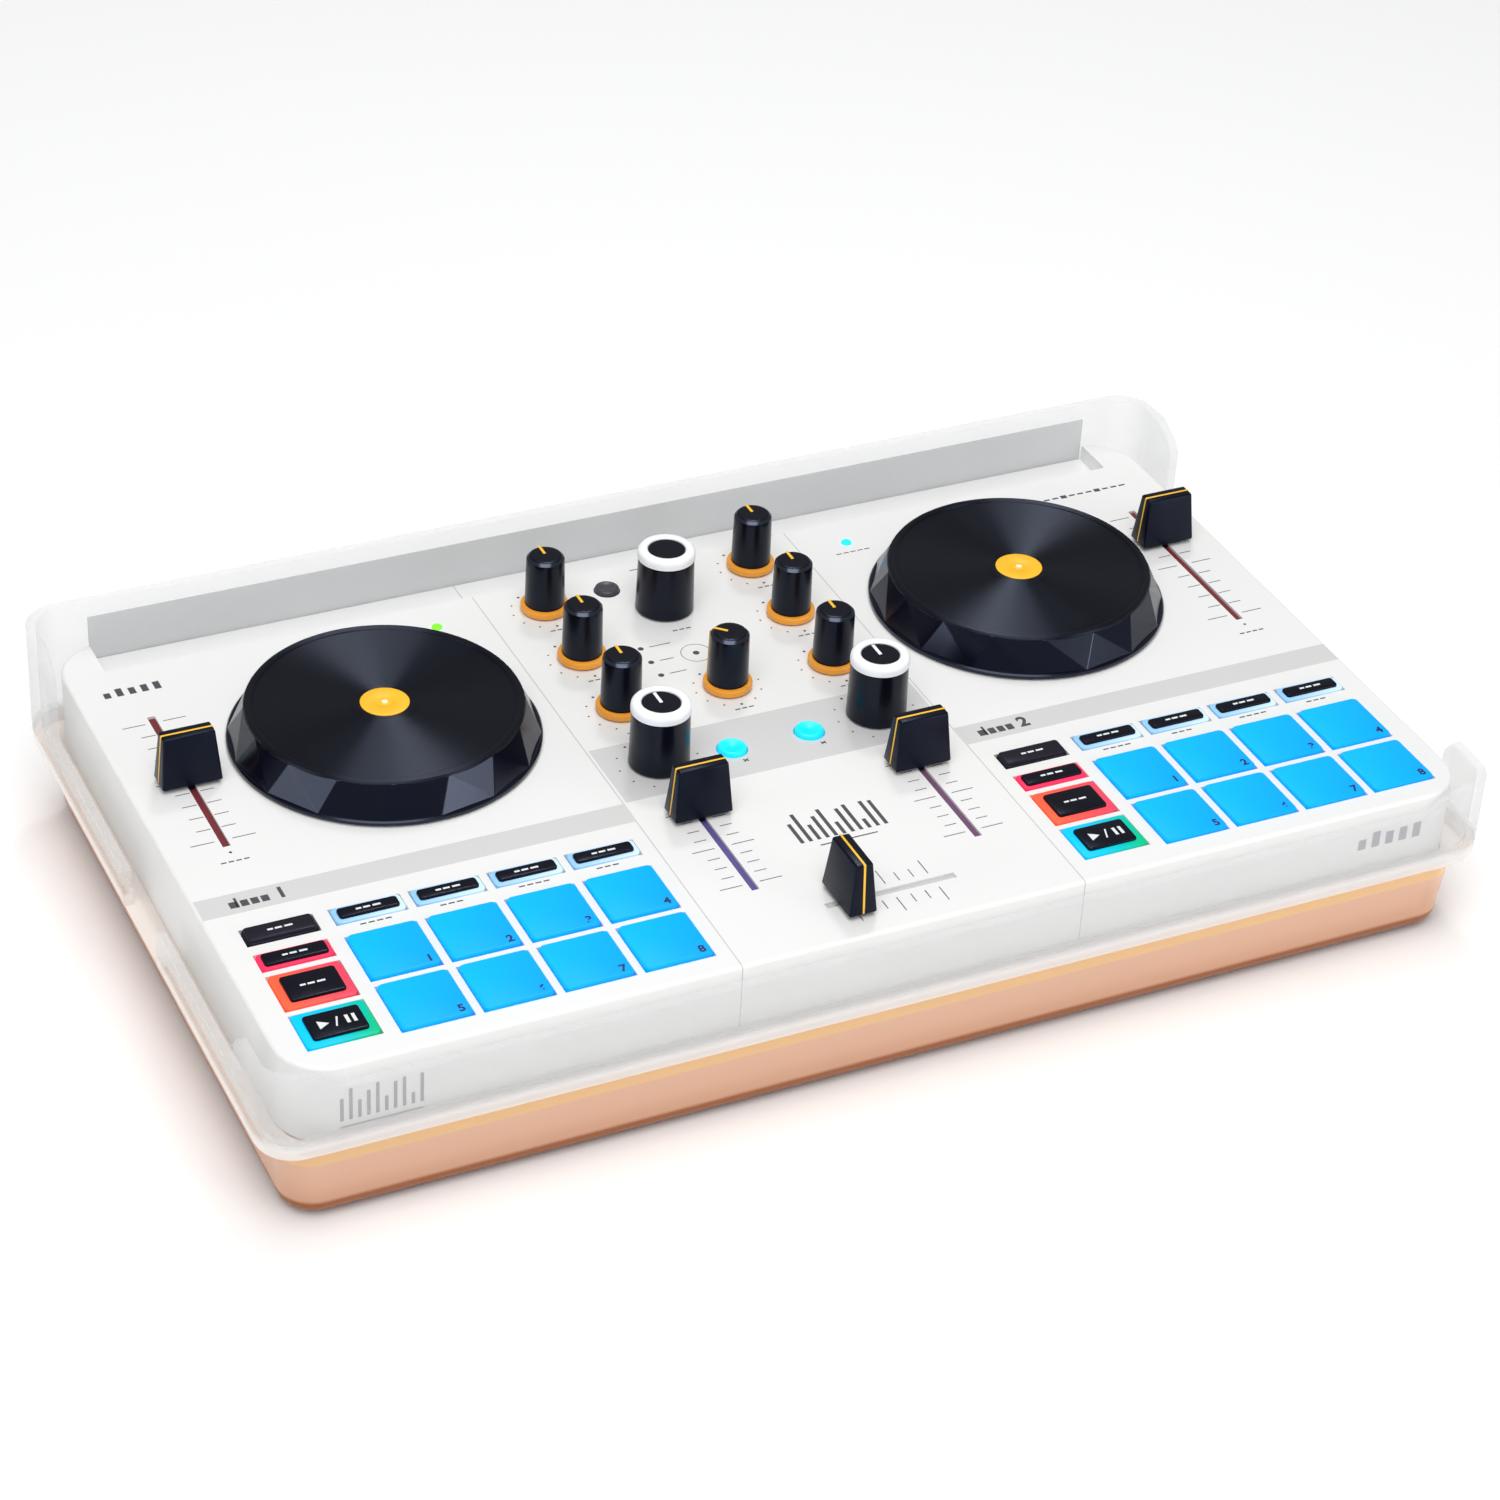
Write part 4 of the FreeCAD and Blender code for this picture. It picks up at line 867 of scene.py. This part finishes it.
for (deck, sign), colour in zip(DECKS, ((0.15, 0.75, 0.02), (0.0, 0.6, 0.95))):
    lens = lamp_finish(f"status_{deck}", colour, 0.3, 0.003 * MM, 0.8)
    dome = stack_rings([(1.5, 48.9), (1.5, 49.42), (1.3, 49.6), (0.7, 49.7)], 24)
    fit(copy_to(dome, f"status_lens_{deck}", sign * status_x, status_y), f"status_lens_{deck}",
        "controller", lens)
    bpy.data.objects.remove(dome)


# ---- tray ---------------------------------------------------------------------------------------
# One clear polycarbonate moulding with polished edges, slightly milky. It is tinted peach below the ledge,
# with an orange line under it where the orange pan shows through, painted brighter as painted light. Pale
# bands at the ledge and the casing's foot are painted light over the shade under the casing, and brown
# painted shade runs along the lower edge. The inner face of the back wall has a grey field, more opaque than
# the clear wall, that the phone leans on.
tray_clear = moulded("tray_clear", (0.77, 0.775, 0.78), 0.24, 12 * MM, 0.002 * MM, shift=0.01, sheen=0.25)
nodes = tray_clear.node_tree.nodes
links = tray_clear.node_tree.links
shader = nodes["Principled BSDF"]
split = nodes.new("ShaderNodeSeparateXYZ")
links.new(nodes["Texture Coordinate"].outputs["Object"], split.inputs["Vector"])
level = split.outputs["Z"]


def ramp(low, high, at_low=0, at_high=1):
    """A smooth step between two levels of the tray, in millimetres."""
    step = nodes.new("ShaderNodeMapRange")
    step.interpolation_type = "SMOOTHSTEP"
    for socket, number in (("From Min", low * MM), ("From Max", high * MM),
                           ("To Min", at_low), ("To Max", at_high)):
        step.inputs[socket].default_value = number
    links.new(level, step.inputs["Value"])
    return step.outputs["Result"]


peach_low, peach_high = (0.84, 0.47, 0.31), (0.88, 0.56, 0.40)
# painted shade: brown painted along the tray's lower edge, where its rounded foot turns into shade
painted_shade_brown = (0.30, 0.10, 0.035)
# partly painted light: the orange pan shows through here, painted brighter than the lamps light it behind the
# wall
pan_orange_with_painted_light = (1.0, 0.65, 0.33)
# painted light: the ledge and the casing's foot are painted pale to lighten the shade under the casing's edge
ledge_peach_painted_light = (0.95, 0.74, 0.58)
wall_foot_painted_light = (0.90, 0.885, 0.875)
# grey field on the back wall's inner face, darker and more opaque than the clear wall
back_field_grey = (0.47, 0.49, 0.50)

clear_tone = nodes["Mix"].outputs["Result"]
# mask of the painted shade along the lower edge: 1 at the foot, 0 above 7 mm
painted_shade_edge = ramp(5.4, 7.0, 1, 0)
tone = mixed(nodes, links, ramp(3, 20), peach_low, peach_high)
tone = mixed(nodes, links, painted_shade_edge, tone, painted_shade_brown)
# bands up the wall: the orange line and the pale bands at the ledge and the casing's foot are painted light
for low, high, upper in ((18.6, 19.4, pan_orange_with_painted_light), (22.3, 23.0, ledge_peach_painted_light), (24, 25.6, wall_foot_painted_light),
                         (28, 31, clear_tone)):
    tone = mixed(nodes, links, ramp(low, high), tone, upper)
side = node_math(nodes, links, "ABSOLUTE", split.outputs["X"])
back_face = between(nodes, links, split.outputs["Y"], 100.9 * MM, 101.7 * MM)
# mask of the grey field on the back wall's inner face
back_field_mask = node_math(nodes, links, "MULTIPLY", back_face, node_math(nodes, links, "LESS_THAN", side, 160 * MM))
back_field_mask = node_math(nodes, links, "MULTIPLY", back_field_mask, between(nodes, links, level, 39 * MM, 58 * MM))
links.new(mixed(nodes, links, back_field_mask, tone, back_field_grey), shader.inputs["Base Color"])

facing = nodes.new("ShaderNodeLayerWeight")
facing.inputs["Blend"].default_value = 0.35
glancing = node_math(nodes, links, "MULTIPLY", facing.outputs["Facing"], 0.35)
veil = node_math(nodes, links, "ADD", ramp(27.5, 31, 0.62, 0.13), glancing)
# the painted shade along the lower edge is also made more opaque
veil = node_math(nodes, links, "ADD", veil, node_math(nodes, links, "MULTIPLY", painted_shade_edge, 0.3))
veil = node_math(nodes, links, "MAXIMUM", veil, node_math(nodes, links, "MULTIPLY", back_field_mask, 0.72))
links.new(node_math(nodes, links, "MINIMUM", veil, 1.0), shader.inputs["Alpha"])

bpy.ops.object.select_all(action="DESELECT")
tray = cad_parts["stand_tray"].copy()
tray.data = tray.data.copy()
bpy.context.scene.collection.objects.link(tray)
select_only(tray)
bpy.ops.mesh.customdata_custom_splitnormals_clear()
bpy.ops.object.mode_set(mode="EDIT")
bpy.ops.mesh.select_all(action="SELECT")
bpy.ops.mesh.remove_doubles(threshold=0.005 * MM)
bpy.ops.mesh.dissolve_limited(angle_limit=math.radians(1))
bpy.ops.object.mode_set(mode="OBJECT")
bpy.ops.object.modifier_add(type="BEVEL")
tray.modifiers["Bevel"].width = 0.45 * MM
tray.modifiers["Bevel"].segments = 2
tray.modifiers["Bevel"].angle_limit = math.radians(38)
bpy.ops.object.modifier_apply(modifier="Bevel")
bpy.ops.object.shade_smooth_by_angle(angle=math.radians(40))
bpy.ops.object.modifier_add(type="WEIGHTED_NORMAL")
tray.modifiers["WeightedNormal"].keep_sharp = True
bpy.ops.object.modifier_apply(modifier="WeightedNormal")
fit(tray, "tray_wall", "stand", tray_clear, smooth=0)
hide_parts("stand_tray")
